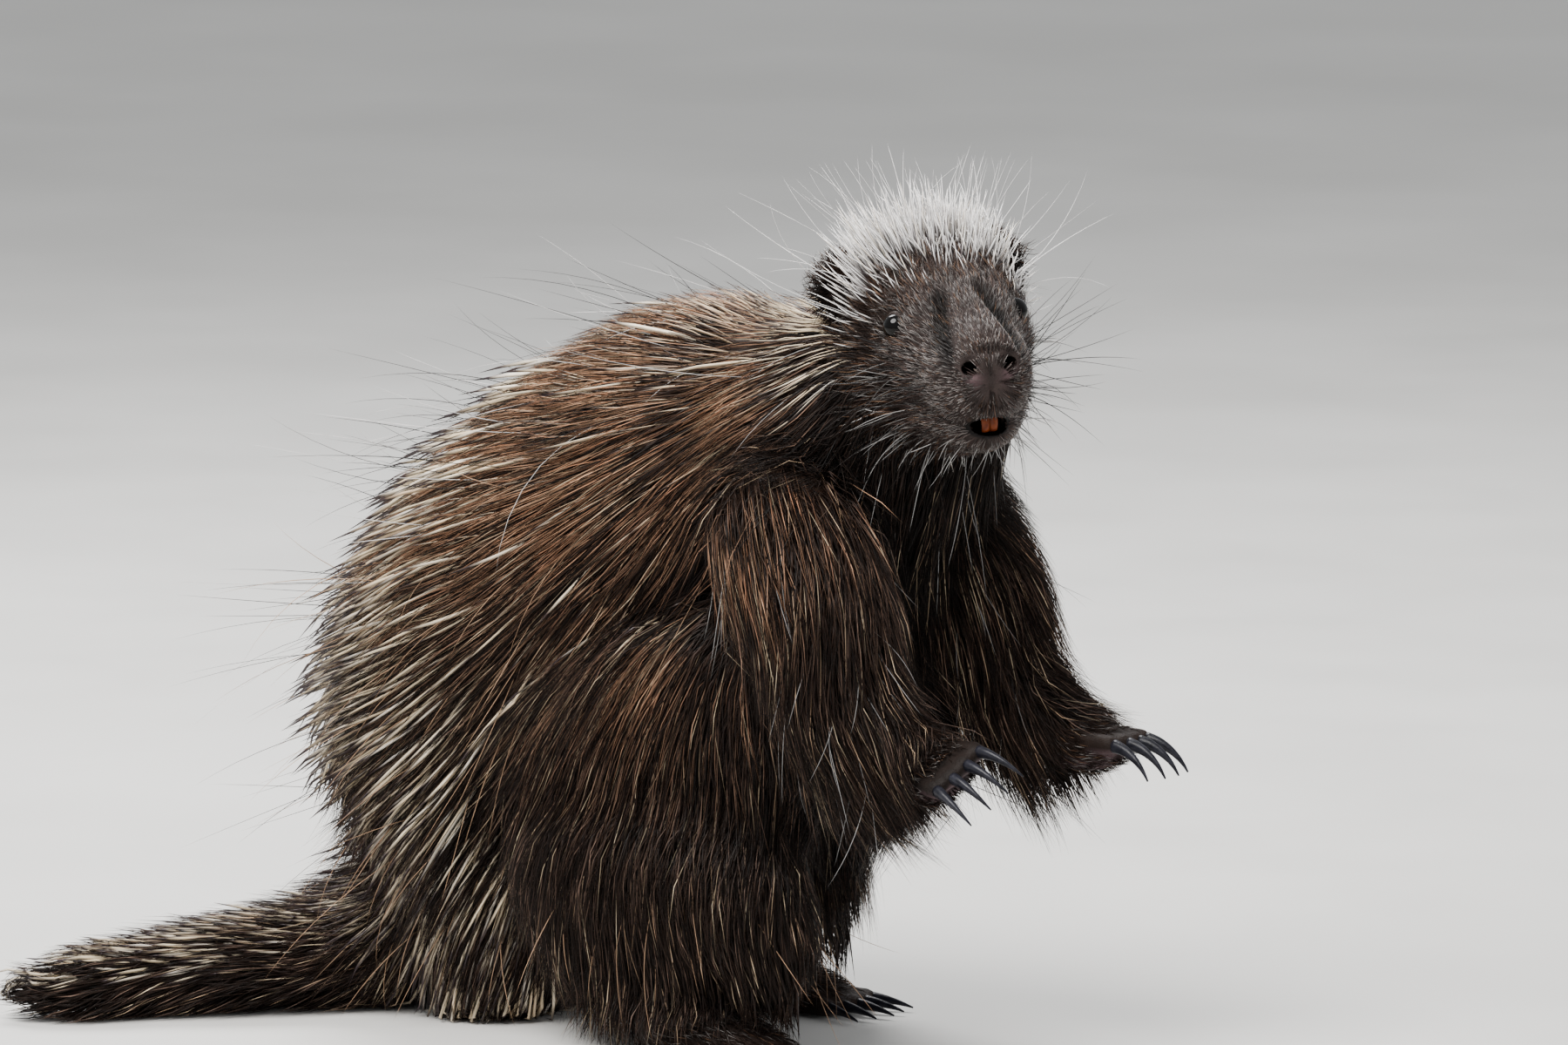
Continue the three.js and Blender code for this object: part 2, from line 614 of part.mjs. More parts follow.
// Eyes, lids, nostrils, mouth and incisors
function alongHead(x) {
  let [low, high] = [0, 1];
  while (high - low > 1e-4) {
    const middle = (low + high) / 2;
    if (lofts.head.centre.getPoint(middle).x < x) low = middle;
    else high = middle;
  }
  return low;
}
for (const [word, side] of Object.entries(SIDES)) {
  const angle = side === 1 ? degToRad(EYE.angle) : Math.PI - degToRad(EYE.angle);
  const t = alongHead(EYE.along);
  const onSkin = lofts.head.point(t, angle, CORE_SHARE);
  const ahead = lofts.head.point(t + 0.03, angle, CORE_SHARE).sub(onSkin);
  const around = lofts.head.point(t, angle + 0.1, CORE_SHARE).sub(onSkin);
  const out = around.cross(ahead).normalize();
  const eyeAt = onSkin.clone().addScaledVector(out, EYE.proud - EYE.radius);
  const frame = looking(eyeAt, out);
  const ball = (radius) => ellipsoid(frame, [radius, radius, radius], 10);
  const rim = Math.sqrt(EYE.radius ** 2 - (EYE.radius - EYE.proud) ** 2) + 0.4;
  const lid = new THREE.TorusGeometry(rim, EYE.lid, 4, 12).rotateY(Math.PI / 2);
  lid.translate(EYE.radius - EYE.proud, 0, 0);
  add("eye_" + word, ball(EYE.radius), eyePaint);
  dressed.head = join(dressed.head, solid(lid, frame)).subtract(ball(EYE.radius + GAP));
  const nostril = looking(inHead(NOSTRIL.at, side), inHead([150, 30, -22], side).sub(inHead([80, 0, -6])));
  dressed.head = dressed.head.subtract(ellipsoid(nostril, NOSTRIL.size, 7));
}
const ahead = inHead([1, 0, 0]).sub(inHead([0, 0, 0]));
dressed.head = dressed.head.subtract(ellipsoid(looking(inHead(MOUTH.at), ahead), MOUTH.size, 10));

function incisor(side, grow) {
  const [x, y, z] = INCISOR.at;
  const stations = [-1, -0.3, 0.5, 1].map((share) => [
    x + INCISOR.bow * (1 - share * share),
    y * side,
    z - (share * INCISOR.height) / 2,
    INCISOR.halfWidth * (1 - 0.12 * Math.max(share, 0)),
    INCISOR.halfThick * (share === 1 ? 0.45 : 1),
    0,
  ]);
  return solid(new Loft(stations, { sides: 8, perSpan: 1, frame: headFrame }).geometry(0, grow));
}
dressed.head = dressed.head.subtract(join(incisor(1, GAP), incisor(-1, GAP)));
add("incisors_upper", join(incisor(1, 0), incisor(-1, 0)), toothPaint);

for (const name of Object.keys(GIVES_WAY)) {
  const skin = /paw|foot/.test(name) ? pawPaint : name === "head" ? headPaint : coatPaint;
  add(name, dressed[name], skin);
}
for (const { name, body } of claws) add(name, body, clawPaint);

// The origin goes to the floor under the middle of the animal.
const box = new THREE.Box3().setFromObject(porcupine);
const middle = box.getCenter(new THREE.Vector3());
porcupine.position.set(-middle.x, -middle.y, -box.min.z);

export default porcupine;
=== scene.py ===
# A North American porcupine sitting up on its haunches: skin, coat, quills, claws, eyes and teeth
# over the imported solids. Places and sizes are in millimetres in the animal's own frame, with +x
# the way the body faces, +y its left side and z = 0 the floor, until a mesh is made.
import math

import bmesh
import bpy
import numpy as np
from mathutils import Matrix, Vector


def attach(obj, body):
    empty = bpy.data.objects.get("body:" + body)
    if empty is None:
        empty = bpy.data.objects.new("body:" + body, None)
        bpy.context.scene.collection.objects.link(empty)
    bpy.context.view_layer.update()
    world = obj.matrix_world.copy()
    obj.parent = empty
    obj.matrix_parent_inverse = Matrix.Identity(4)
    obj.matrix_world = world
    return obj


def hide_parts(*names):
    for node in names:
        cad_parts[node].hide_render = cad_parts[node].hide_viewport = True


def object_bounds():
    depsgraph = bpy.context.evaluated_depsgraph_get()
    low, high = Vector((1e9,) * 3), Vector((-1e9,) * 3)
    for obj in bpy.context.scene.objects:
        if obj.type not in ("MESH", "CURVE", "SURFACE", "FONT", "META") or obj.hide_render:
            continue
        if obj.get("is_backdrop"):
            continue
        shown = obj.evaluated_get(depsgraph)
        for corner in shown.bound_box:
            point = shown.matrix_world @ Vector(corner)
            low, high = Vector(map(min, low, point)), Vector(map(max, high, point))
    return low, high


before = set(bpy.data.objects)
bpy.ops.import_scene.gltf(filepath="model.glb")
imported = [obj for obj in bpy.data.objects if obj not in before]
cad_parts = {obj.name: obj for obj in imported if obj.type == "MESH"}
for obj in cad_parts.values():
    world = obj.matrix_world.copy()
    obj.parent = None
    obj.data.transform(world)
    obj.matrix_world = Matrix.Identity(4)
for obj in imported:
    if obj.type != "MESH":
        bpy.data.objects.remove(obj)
cad_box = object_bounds()

MM = 0.001
SEED = 7
CORE_SHARE = 0.45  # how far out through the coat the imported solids' smooth cores reach
SAMPLES = 81  # sections measured along a body
END_REACH = 6  # how far past a section a place still counts as beside it

# A station is [x, y, z, half width, half depth, coat depth].
TORSO = [
    [-58, 0, 22, 54, 38, 14],
    [-64, 0, 96, 72, 50, 20],
    [-68, 0, 160, 88, 71, 42],
    [-40, 0, 225, 98, 90, 44],
    [20, 0, 276, 97, 97, 40],
    [85, 0, 312, 88, 98, 40],
    [140, 2, 339, 74, 86, 38],
    [174, 4, 360, 56, 64, 32],
]
FLANK_FOLD = [  # loose skin between elbow and knee
    [-34, 46, 150, 18, 26, 10],
    [0, 54, 162, 32, 48, 16],
    [50, 58, 178, 40, 60, 20],
    [100, 60, 192, 41, 62, 20],
    [150, 61, 205, 36, 60, 20],
    [178, 61, 212, 24, 42, 14],
    [186, 61, 213, 10, 18, 8],
]
NECK = [
    [120, 2, 322, 58, 62, 28],
    [162, 8, 350, 62, 62, 32],
    [200, 12, 378, 61, 52, 32],
    [230, 6, 400, 48, 40, 24],
]
TAIL = [
    [-66, 2, 52, 32, 30, 12],
    [-112, -6, 46, 38, 33, 18],
    [-154, -38, 33, 36, 26, 20],
    [-192, -84, 27, 31, 21, 20],
    [-228, -132, 22, 24, 16, 18],
    [-254, -174, 18, 15, 11, 16],
    [-264, -190, 17, 6, 5, 10],
]
HEAD_AT = [240, -12, 417]
HEAD_TURN = -40  # degrees, to the animal's right
HEAD_TILT = 6  # degrees, right side down
SKULL = [
    [-60, 0, 2, 20, 20, 14],
    [-44, 0, 3, 36, 36, 22],
    [-20, 0, -1, 44, 43, 22],
    [6, 0, -3, 43, 44, 11],
    [28, 0, -7, 39, 41, 4],
    [48, 0, -12, 33, 36, 2],
    [66, 0, -15, 31, 31, 1.5],
    [78, 0, -17, 27, 27, 1],
    [86, 0, -18, 21, 21, 1],
    [90, 0, -18, 14, 14, 1],
    [91.5, 0, -18, 5, 5, 1],
]
JAW = [
    [-24, 0, -26, 28, 24, 8],
    [10, 0, -35, 38, 26, 7],
    [38, 0, -41, 30, 21, 4],
    [60, 0, -46, 22, 15, 3],
    [72, 0, -48, 14, 10, 2],
    [78, 0, -48, 6, 5, 1],
]
EYE = {"along": 24, "angle": 24, "radius": 7.5, "proud": 2.8}  # the angle in degrees over the side
EAR = {"at": [-42, 47, 25], "facing": [0.72, 0.66, 0.2], "size": [7, 13, 16], "cup": [6, 9.5, 12.5]}
EAR_COAT = 10
NOSTRIL = {"at": [86, 10.5, -9], "way": [70, 30, -16], "size": [8, 5.2, 4.4], "turn": 28}
MOUTH = {"at": [76, 0, -44], "size": [22, 11, 6]}
INCISOR = {"at": [75, 2.3, -41], "half_width": 2.5, "half_thick": 1.6, "height": 13}

SIDES = {"left": 1, "right": -1}
REACH = {"left": 0, "right": -2}  # how far forward of its stations each forepaw is held
STRIDE = {"left": -22, "right": 64}  # the same of each hind foot
PAW_TURN = {"left": 0, "right": -28}  # degrees
PAW_ROLL = {"left": 0, "right": 38}  # degrees
FORELEG = [
    [140, 46, 312, 34, 36, 10],
    [166, 60, 300, 39, 41, 18],
    [202, 73, 256, 32, 33, 24],
    [218, 78, 212, 25, 27, 22],
    [242, 75, 190, 22, 24, 14],
    [260, 72, 182, 19, 19, 7],
]
FOREPAW = [
    [254, 73, 184, 16, 16, 5],
    [270, 71, 178, 19, 17, 4],
    [290, 69, 176, 20, 14, 3],
    [303, 68, 178, 16, 9, 2],
]
HINDLEG = [
    [-48, 44, 112, 34, 44, 10],
    [-20, 62, 108, 40, 54, 16],
    [30, 72, 98, 38, 57, 18],
    [76, 79, 86, 33, 48, 18],
    [100, 83, 66, 25, 34, 14],
    [106, 85, 52, 12, 16, 8],
]
HINDFOOT = [
    [26, 84, 20, 14, 14, 3],
    [42, 85, 17, 21, 18, 4],
    [80, 87, 14, 24, 16, 4],
    [108, 89, 10, 23, 11, 3],
    [122, 90, 8, 17, 6, 2],
]
FORE_TOES = {"count": 4, "at": [303, 68, 180], "spread": 9.6, "fan": 6, "length": 15, "radius": 6.2}
HIND_TOES = {"count": 5, "at": [120, 90, 7], "spread": 9.4, "fan": 7, "length": 15, "radius": 5.8}
TOE_STEP = 2.4  # how far each toe lies behind the one beside it
TOE_COAT = 0.5
# Shares of a toe's length and of its radius there
TOE_SHAPE = [[-1.0, 0.8], [-0.5, 0.98], [0, 1.0], [0.55, 0.95], [0.9, 0.78], [1.04, 0.4]]
FORE_CLAWS = {"length": 31, "radius": 3.5, "curl": 56, "droop": 6}
HIND_CLAWS = {"length": 25, "radius": 3.1, "curl": 16, "droop": 2}
CLAW_SINK = 1.5  # how deep a claw's root sits in its toe

# Colours, as linear red, green and blue
BLACK = np.array([0.006, 0.0042, 0.0038])
BROWN = np.array([0.034, 0.018, 0.012])
FACE_BROWN = np.array([0.055, 0.038, 0.034])
CHESTNUT = np.array([0.13, 0.083, 0.062])
RUST = np.array([0.31, 0.135, 0.068])
TAN = np.array([0.58, 0.36, 0.22])
IVORY = np.array([0.84, 0.69, 0.47])
WHITE = np.array([0.92, 0.89, 0.87])
PLUM = np.array([0.022, 0.012, 0.015])
PINK = np.array([0.155, 0.092, 0.102])


def unit(vectors):
    return vectors / np.maximum(np.linalg.norm(vectors, axis=-1, keepdims=True), 1e-9)


def mix(a, b, share):
    share = np.asarray(share)[..., None]
    return a * (1 - share) + b * share


def bump(value, middle, width):
    return np.exp(-(((value - middle) / width) ** 2))


def smooth(low, high, value):
    share = np.clip((value - low) / (high - low), 0, 1)
    return share * share * (3 - 2 * share)


def span(value, low, full, fade, high):
    """0 up to low, 1 from full to fade, and 0 again from high."""
    return smooth(low, full, value) * smooth(high, fade, value)


def distance(places, at, weights=1.0):
    return np.linalg.norm((places - at) * weights, axis=1)


def rotation(axis, angle):
    return np.array(Matrix.Rotation(math.radians(angle), 4, axis))


def translation(at):
    return np.array(Matrix.Translation(Vector([float(value) for value in at])))


def moved(matrix, points):
    return points @ matrix[:3, :3].T + matrix[:3, 3]


def spline(points, t):
    """Places on the uniform Catmull-Rom curve through points, at shares t of its spans."""
    points = np.asarray(points, float)
    last = len(points) - 1
    full = np.vstack([2 * points[0] - points[1], points, 2 * points[-1] - points[-2]])
    place = np.clip(np.asarray(t, float), 0, 1) * last
    i = np.minimum(place.astype(int), last - 1)
    w = (place - i)[:, None]
    a, b, c, d = full[i], full[i + 1], full[i + 2], full[i + 3]
    m, n = (c - a) / 2, (d - b) / 2
    return (2 * b - 2 * c + m + n) * w**3 + (-3 * b + 3 * c - 2 * m - n) * w**2 + m * w + b


def tube_faces(rings, sides, first=0):
    """Faces of a tube whose corners run ring by ring from the first."""
    faces = []
    for j in range(sides):
        for i in range(rings - 1):
            a, b = first + i * sides + j, first + i * sides + (j + 1) % sides
            faces.append((a, b, b + sides, a + sides))
    return faces


class Loft:
    """A smooth body through stations. ref is the direction of the half widths."""

    def __init__(self, stations, ref=(0, 1, 0), place=None):
        table = np.array(stations, float)
        self.centres, self.sizes = table[:, :3], table[:, 3:6]
        self.ref = np.array(ref, float)
        self.place = np.eye(4) if place is None else place
        self.samples = self.sections(np.linspace(0, 1, SAMPLES))
        around = self.samples["half_side"] + self.samples["half_up"]
        ahead = np.linalg.norm(np.diff(self.samples["centre"], axis=0), axis=1)
        steps = np.hypot(ahead, np.diff(around) / 2)
        self.area = np.concatenate([[0], np.cumsum(steps * (around[1:] + around[:-1]) * math.pi / 2)])

    def sections(self, t):
        t = np.asarray(t, float)
        along = unit(spline(self.centres, t + 1e-3) - spline(self.centres, t - 1e-3))
        side = unit(self.ref - along * (along @ self.ref)[:, None])
        turn = self.place[:3, :3].T
        size = spline(self.sizes, t)
        return {
            "centre": moved(self.place, spline(self.centres, t)),
            "along": along @ turn,
            "side": side @ turn,
            "up": np.cross(along, side) @ turn,
            "half_side": size[:, 0],
            "half_up": size[:, 1],
            "coat": size[:, 2],
        }

    def surface(self, t, angle, share=0.0):
        """Places on the skin, or out through a share of the coat."""
        s = self.sections(t)
        wide = (s["half_side"] + s["coat"] * share) * np.cos(angle)
        high = (s["half_up"] + s["coat"] * share) * np.sin(angle)
        return s["centre"] + s["side"] * wide[:, None] + s["up"] * high[:, None]

    def over(self, places):
        """The way out of the body near each place, the height over the skin, the coat there."""
        s = self.samples
        far = (s["centre"] ** 2).sum(1)[None] - 2 * places @ s["centre"].T
        i = far.argmin(1)
        away = places - s["centre"][i]
        wide, high = s["half_side"][i], s["half_up"][i]
        a = (away * s["side"][i]).sum(1) / wide
        b = (away * s["up"][i]).sum(1) / high
        out = unit(s["side"][i] * (a / wide)[:, None] + s["up"][i] * (b / high)[:, None])
        across = np.hypot(a * wide, b * high)
        beyond = np.abs((away * s["along"][i]).sum(1))
        height = np.maximum(across * (1 - 1 / np.maximum(np.hypot(a, b), 0.01)), beyond - END_REACH)
        return {"out": out, "height": height, "coat": s["coat"][i], "along": s["along"][i]}

    def mesh(self, sides=40, per_span=8):
        """Corners and faces of the closed skin."""
        rings = (len(self.centres) - 1) * per_span + 1
        t = np.repeat(np.linspace(0, 1, rings), sides)
        angle = np.tile(np.arange(sides) / sides * 2 * math.pi, rings)
        ends = self.sections(np.array([0.0, 1.0]))["centre"]
        points = np.vstack([self.surface(t, angle), ends])
        faces = tube_faces(rings, sides)
        first = rings * sides
        last = (rings - 1) * sides
        for j in range(sides):
            k = (j + 1) % sides
            faces.append((first, k, j))
            faces.append((first + 1, last + j, last + k))
        return points, faces


def looking(at, facing, up=(0, 0, 1)):
    """A frame with x along facing and z as near as can be to up."""
    x = unit(np.array(facing, float))
    y = unit(np.cross(np.array(up, float), x))
    place = np.eye(4)
    place[:3, 0], place[:3, 1], place[:3, 2], place[:3, 3] = x, y, np.cross(x, y), at
    return place


def limb(stations, side, shift):
    """Stations for one side, each moved ahead by the shift at its share of the limb."""
    last = len(stations) - 1
    return [[s[0] + shift(i / last), s[1] * side, *s[2:]] for i, s in enumerate(stations)]


def paw_place(word):
    """How a forepaw is turned and rolled about its wrist."""
    wrist = np.array([FOREPAW[0][0] + REACH[word], FOREPAW[0][1] * SIDES[word], FOREPAW[0][2]])
    rolled = rotation("X", -PAW_ROLL[word] * SIDES[word])
    return translation(wrist) @ rotation("Z", PAW_TURN[word]) @ rolled @ translation(-wrist)


HEAD = translation(HEAD_AT) @ rotation("Z", HEAD_TURN) @ rotation("X", HEAD_TILT)
HEAD_BACK = np.linalg.inv(HEAD)


def in_head(at, side=1):
    """A place in the head's frame, on the left for side 1 and on the right for -1."""
    return moved(HEAD, np.array([at[0], at[1] * side, at[2]], float)[None])[0]


def head_way(way, side=1):
    return HEAD[:3, :3] @ np.array([way[0], way[1] * side, way[2]], float)


def ear_place(side):
    return looking(in_head(EAR["at"], side), head_way(EAR["facing"], side))


def ear_loft(side):
    stations = []
    for turn in (8, 30, 60, 90, 120, 150, 172):
        share = math.sin(math.radians(turn))
        ahead = -math.cos(math.radians(turn)) * EAR["size"][0]
        stations.append([ahead, 0, 0, EAR["size"][1] * share, EAR["size"][2] * share, EAR_COAT])
    return Loft(stations, place=ear_place(side))


# Body forms
lofts = {
    "head": Loft(SKULL, place=HEAD),
    "jaw": Loft(JAW, place=HEAD),
    "neck": Loft(NECK, ref=(0.35, 1, 0)),
    "torso": Loft(TORSO),
    "tail": Loft(TAIL),
}
for word, side in SIDES.items():
    lofts["fold_" + word] = Loft(limb(FLANK_FOLD, side, lambda share: 0))
    lofts["foreleg_" + word] = Loft(limb(FORELEG, side, lambda share: REACH[word] * share))
    paw = limb(FOREPAW, side, lambda share: REACH[word])
    lofts["forepaw_" + word] = Loft(paw, place=paw_place(word))
    lofts["hindleg_" + word] = Loft(limb(HINDLEG, side, lambda share: STRIDE[word]))
    lofts["hindfoot_" + word] = Loft(limb(HINDFOOT, side, lambda share: STRIDE[word]))
    lofts["ear_" + word] = ear_loft(side)


def toe_frames(word, toes, reach, place):
    """A frame for each toe of a paw, fanned out and with the outer ones further back."""
    side = SIDES[word]
    for i in range(toes["count"]):
        step = i - (toes["count"] - 1) / 2
        x = toes["at"][0] + reach - abs(step) * TOE_STEP
        at = [x, (toes["at"][1] + step * toes["spread"]) * side, toes["at"][2]]
        fan = math.radians(step * toes["fan"] * side)
        yield place @ looking(at, [math.cos(fan), math.sin(fan), 0])


def toe_loft(toes, place):
    length, radius = toes["length"], toes["radius"]
    stations = [[x * length, 0, 0, radius * share, radius * share, TOE_COAT] for x, share in TOE_SHAPE]
    return Loft(stations, place=place)


def claw_loft(look, place):
    stations = []
    for share in (0, 0.17, 0.34, 0.52, 0.7, 0.86, 1):
        turn = math.radians(look["droop"] + look["curl"] * share / 2)
        wide, deep = look["radius"] * (1 - share * 0.88), look["radius"] * (1.15 - share)
        reach = share * look["length"]
        stations.append([math.cos(turn) * reach, 0, -math.sin(turn) * reach, wide, deep, 0])
    return Loft(stations, place=place)


toe_forms = []
claw_forms = {}
for word in SIDES:
    for name, toes, look, reach, place in (
        ("fore", FORE_TOES, FORE_CLAWS, REACH[word], paw_place(word)),
        ("hind", HIND_TOES, HIND_CLAWS, STRIDE[word], np.eye(4)),
    ):
        for i, toe in enumerate(toe_frames(word, toes, reach, place)):
            toe_forms.append(toe_loft(toes, toe))
            root = toe @ translation([toes["length"] - CLAW_SINK, 0, 0])
            claw_forms[f"claw_{name}_{word}_{i + 1}"] = claw_loft(look, root)


def along_head(x):
    """The share of the skull's length at which it lies this far ahead."""
    t = np.linspace(0, 1, 2001)
    return t[np.abs(spline(lofts["head"].centres, t)[:, 0] - x).argmin()]


def eye_frame(side):
    """The frame of an eye, with x out of the head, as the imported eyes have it."""
    angle = math.radians(EYE["angle"])
    if side < 0:
        angle = math.pi - angle
    t = along_head(EYE["along"])
    along, turn = np.array([t, t + 0.03, t]), np.array([angle, angle, angle + 0.1])
    skin, ahead, around = lofts["head"].surface(along, turn, CORE_SHARE)
    out = unit(np.cross(around - skin, ahead - skin))
    return looking(skin + out * (EYE["proud"] - EYE["radius"]), out)


eyes = {word: eye_frame(side) for word, side in SIDES.items()}


def node_middle(node):
    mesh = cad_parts[node].data
    places = np.empty(len(mesh.vertices) * 3)
    mesh.vertices.foreach_get("co", places)
    return places.reshape(-1, 3).mean(0)


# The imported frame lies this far, in metres, from the animal's own.
SHIFT = np.mean([node_middle("eye_" + word) - eyes[word][:3, 3] * MM for word in SIDES], axis=0)


def to_frame(points):
    return points * MM + SHIFT


def new_mesh(name, points, faces, share_frame=True):
    mesh = bpy.data.meshes.new(name)
    mesh.from_pydata((to_frame(points) if share_frame else points).tolist(), [], faces)
    mesh.update()
    return mesh


def new_object(name, data):
    made = bpy.data.objects.new(name, data)
    bpy.context.scene.collection.objects.link(made)
    return made


def shade_smooth(made):
    made.data.polygons.foreach_set("use_smooth", [True] * len(made.data.polygons))


def apply_modifiers(made):
    graph = bpy.context.evaluated_depsgraph_get()
    mesh = bpy.data.meshes.new_from_object(made.evaluated_get(graph))
    made.modifiers.clear()
    made.data = mesh


def mesh_places(mesh):
    places = np.empty(len(mesh.vertices) * 3)
    mesh.vertices.foreach_get("co", places)
    return (places.reshape(-1, 3) - SHIFT) / MM


def mesh_normals(mesh):
    normals = np.empty(len(mesh.vertices) * 3)
    mesh.vertices.foreach_get("normal", normals)
    return normals.reshape(-1, 3)


def merged(forms):
    """Corners and faces of several forms as one."""
    points, faces, count = [], [], 0
    for corners, sides in forms:
        faces += [tuple(i + count for i in side) for side in sides]
        points.append(corners)
        count += len(corners)
    return np.vstack(points), faces


def ellipsoid(place, size, rings=24, sides=32):
    """Corners and faces of an ellipsoid in a frame, with its poles on the frame's x."""
    points = [[-1, 0, 0]]
    for i in range(1, rings):
        polar = math.pi * i / rings
        across = math.sin(polar)
        for j in range(sides):
            turn = 2 * math.pi * j / sides
            points.append([-math.cos(polar), across * math.cos(turn), across * math.sin(turn)])
    points.append([1, 0, 0])
    faces = tube_faces(rings - 1, sides, 1)
    last = len(points) - 1
    for j in range(sides):
        k = (j + 1) % sides
        faces.append((0, 1 + k, 1 + j))
        faces.append((last, last - sides + j, last - sides + k))
    return moved(place, np.array(points) * np.array(size)), faces


# Skin
VOXEL = 2.4  # millimetres
SMOOTHING = 6  # rounds
FACE_SMOOTHING = 3  # rounds
SOCKET_CLEAR = 0.3  # between an eyeball and its socket
REFINED = {"middle": [53, 0, -14], "half": [43, 46, 46]}  # muzzle and eyes, in the head's frame
FURROW = {"aside": 21.5, "closing": 0.38, "spreading": 0.1, "width": 4.2, "depth": 5.5}  # by the nose
HOLLOW = {"aside": 28, "width": 7, "depth": 2.5}  # behind the furrow
RIM = {"radius": 7.0, "width": 2.4, "height": 1.3}  # round a nostril
PAD = {"at": [78, 14, -29], "radius": 8, "height": 2.0}  # where the whiskers grow
CLEFT = {"width": 1.5, "depth": 1.1}  # in the upper lip
EYE_RING = {"radius": 13, "width": 3, "depth": 0.9}
ALONG_HALF = [0.5, 1, 1]  # weights that make a patch on the nose twice as long as wide


def cutters():
    """The eye sockets, nostrils, mouth and ear cups that are cut from the skin."""
    forms = [ellipsoid(eyes[word], [EYE["radius"] + SOCKET_CLEAR] * 3) for word in SIDES]
    for side in SIDES.values():
        nostril = looking(in_head(NOSTRIL["at"], side), head_way(NOSTRIL["way"], side))
        forms.append(ellipsoid(nostril @ rotation("X", NOSTRIL["turn"] * side), NOSTRIL["size"]))
        cup = ear_place(side) @ translation([EAR["size"][0] * 0.75, 0, 1])
        forms.append(ellipsoid(cup, EAR["cup"]))
    forms.append(ellipsoid(looking(in_head(MOUTH["at"]), head_way([1, 0, 0])), MOUTH["size"]))
    return merged(forms)


def add_modifier(made, kind, **settings):
    modifier = made.modifiers.new(kind.lower(), kind)
    for name, value in settings.items():
        setattr(modifier, name, value)


def make_skin():
    """One skin over all the bodies, finer and sculpted on the face, with its openings cut."""
    forms = [loft.mesh() for loft in list(lofts.values()) + toe_forms]
    skin = new_object("skin", new_mesh("skin", *merged(forms)))
    add_modifier(skin, "REMESH", mode="VOXEL", voxel_size=VOXEL * MM)
    add_modifier(skin, "SMOOTH", factor=0.5, iterations=SMOOTHING)
    apply_modifiers(skin)
    refine_face(skin)
    places, out = mesh_places(skin.data), mesh_normals(skin.data)
    set_places(skin.data, places + out * face_lift(places)[:, None])
    cutter = new_object("cutter", new_mesh("cutter", *cutters()))
    add_modifier(skin, "BOOLEAN", operation="DIFFERENCE", solver="MANIFOLD", object=cutter)
    apply_modifiers(skin)
    bpy.data.objects.remove(cutter)
    set_places(skin.data, mesh_places(skin.data))
    shade_smooth(skin)
    return skin


def set_places(mesh, places):
    """Moves a mesh's corners, and lifts to the floor what would lie under it."""
    places = to_frame(places)
    places[:, 2] = np.maximum(places[:, 2], 0)
    mesh.vertices.foreach_set("co", places.ravel())
    mesh.update()


def refine_face(skin):
    """Halves the faces of the muzzle and the eye region, and smooths them again."""
    mesh = bmesh.new()
    mesh.from_mesh(skin.data)
    local = moved(HEAD_BACK, mesh_places(skin.data))
    near = (np.abs(local - REFINED["middle"]) < REFINED["half"]).all(1)
    mesh.verts.ensure_lookup_table()
    edges = [edge for edge in mesh.edges if near[edge.verts[0].index] and near[edge.verts[1].index]]
    bmesh.ops.subdivide_edges(mesh, edges=edges, cuts=1, use_grid_fill=True)
    chosen = list({vert for edge in edges if edge.is_valid for vert in edge.verts})
    axes = {"use_axis_x": True, "use_axis_y": True, "use_axis_z": True}
    for _ in range(FACE_SMOOTHING):
        bmesh.ops.smooth_vert(mesh, verts=chosen, factor=0.5, **axes)
    bmesh.ops.triangulate(mesh, faces=[face for face in mesh.faces if len(face.verts) > 4])
    mesh.to_mesh(skin.data)
    mesh.free()


def eye_distances(places):
    return [distance(places, eyes[word][:3, 3]) for word in SIDES]


def furrows(head):
    """1 in the middle of the furrows beside the bridge of the nose, for places in the head's frame."""
    ahead, aside, height = head[:, 0], np.abs(head[:, 1]), head[:, 2]
    middle = FURROW["aside"] - FURROW["closing"] * np.maximum(height - 4, 0)
    middle = middle + FURROW["spreading"] * np.minimum(height, 0)
    return bump(aside, middle, FURROW["width"]) * span(ahead, 34, 46, 78, 90) * smooth(-26, -10, height)


def face_lift(places):
    """How far the face stands out from its loft: furrows and hollows beside the nose, rims of
    the nostrils, whisker pads, a cleft upper lip and rings round the eyes."""
    head = moved(HEAD_BACK, places)
    ahead, aside, height = head[:, 0], np.abs(head[:, 1]), head[:, 2]
    folded = np.stack([ahead, aside, height], 1)
    hollow = bump(aside, HOLLOW["aside"], HOLLOW["width"]) * span(ahead, 34, 48, 68, 82)
    rim = bump(distance(folded, NOSTRIL["at"], ALONG_HALF), RIM["radius"], RIM["width"])
    cleft = bump(aside, 0, CLEFT["width"]) * smooth(76, 82, ahead) * span(height, -40, -34, -22, -17)
    lift = -FURROW["depth"] * furrows(head) - HOLLOW["depth"] * hollow * smooth(-36, -22, height)
    lift += RIM["height"] * rim * smooth(72, 80, ahead) - CLEFT["depth"] * cleft
    lift += PAD["height"] * bump(distance(folded, PAD["at"], ALONG_HALF), 0, PAD["radius"])
    for far in eye_distances(places):
        lift -= EYE_RING["depth"] * bump(far, EYE_RING["radius"], EYE_RING["width"])
    return lift


skin = make_skin()


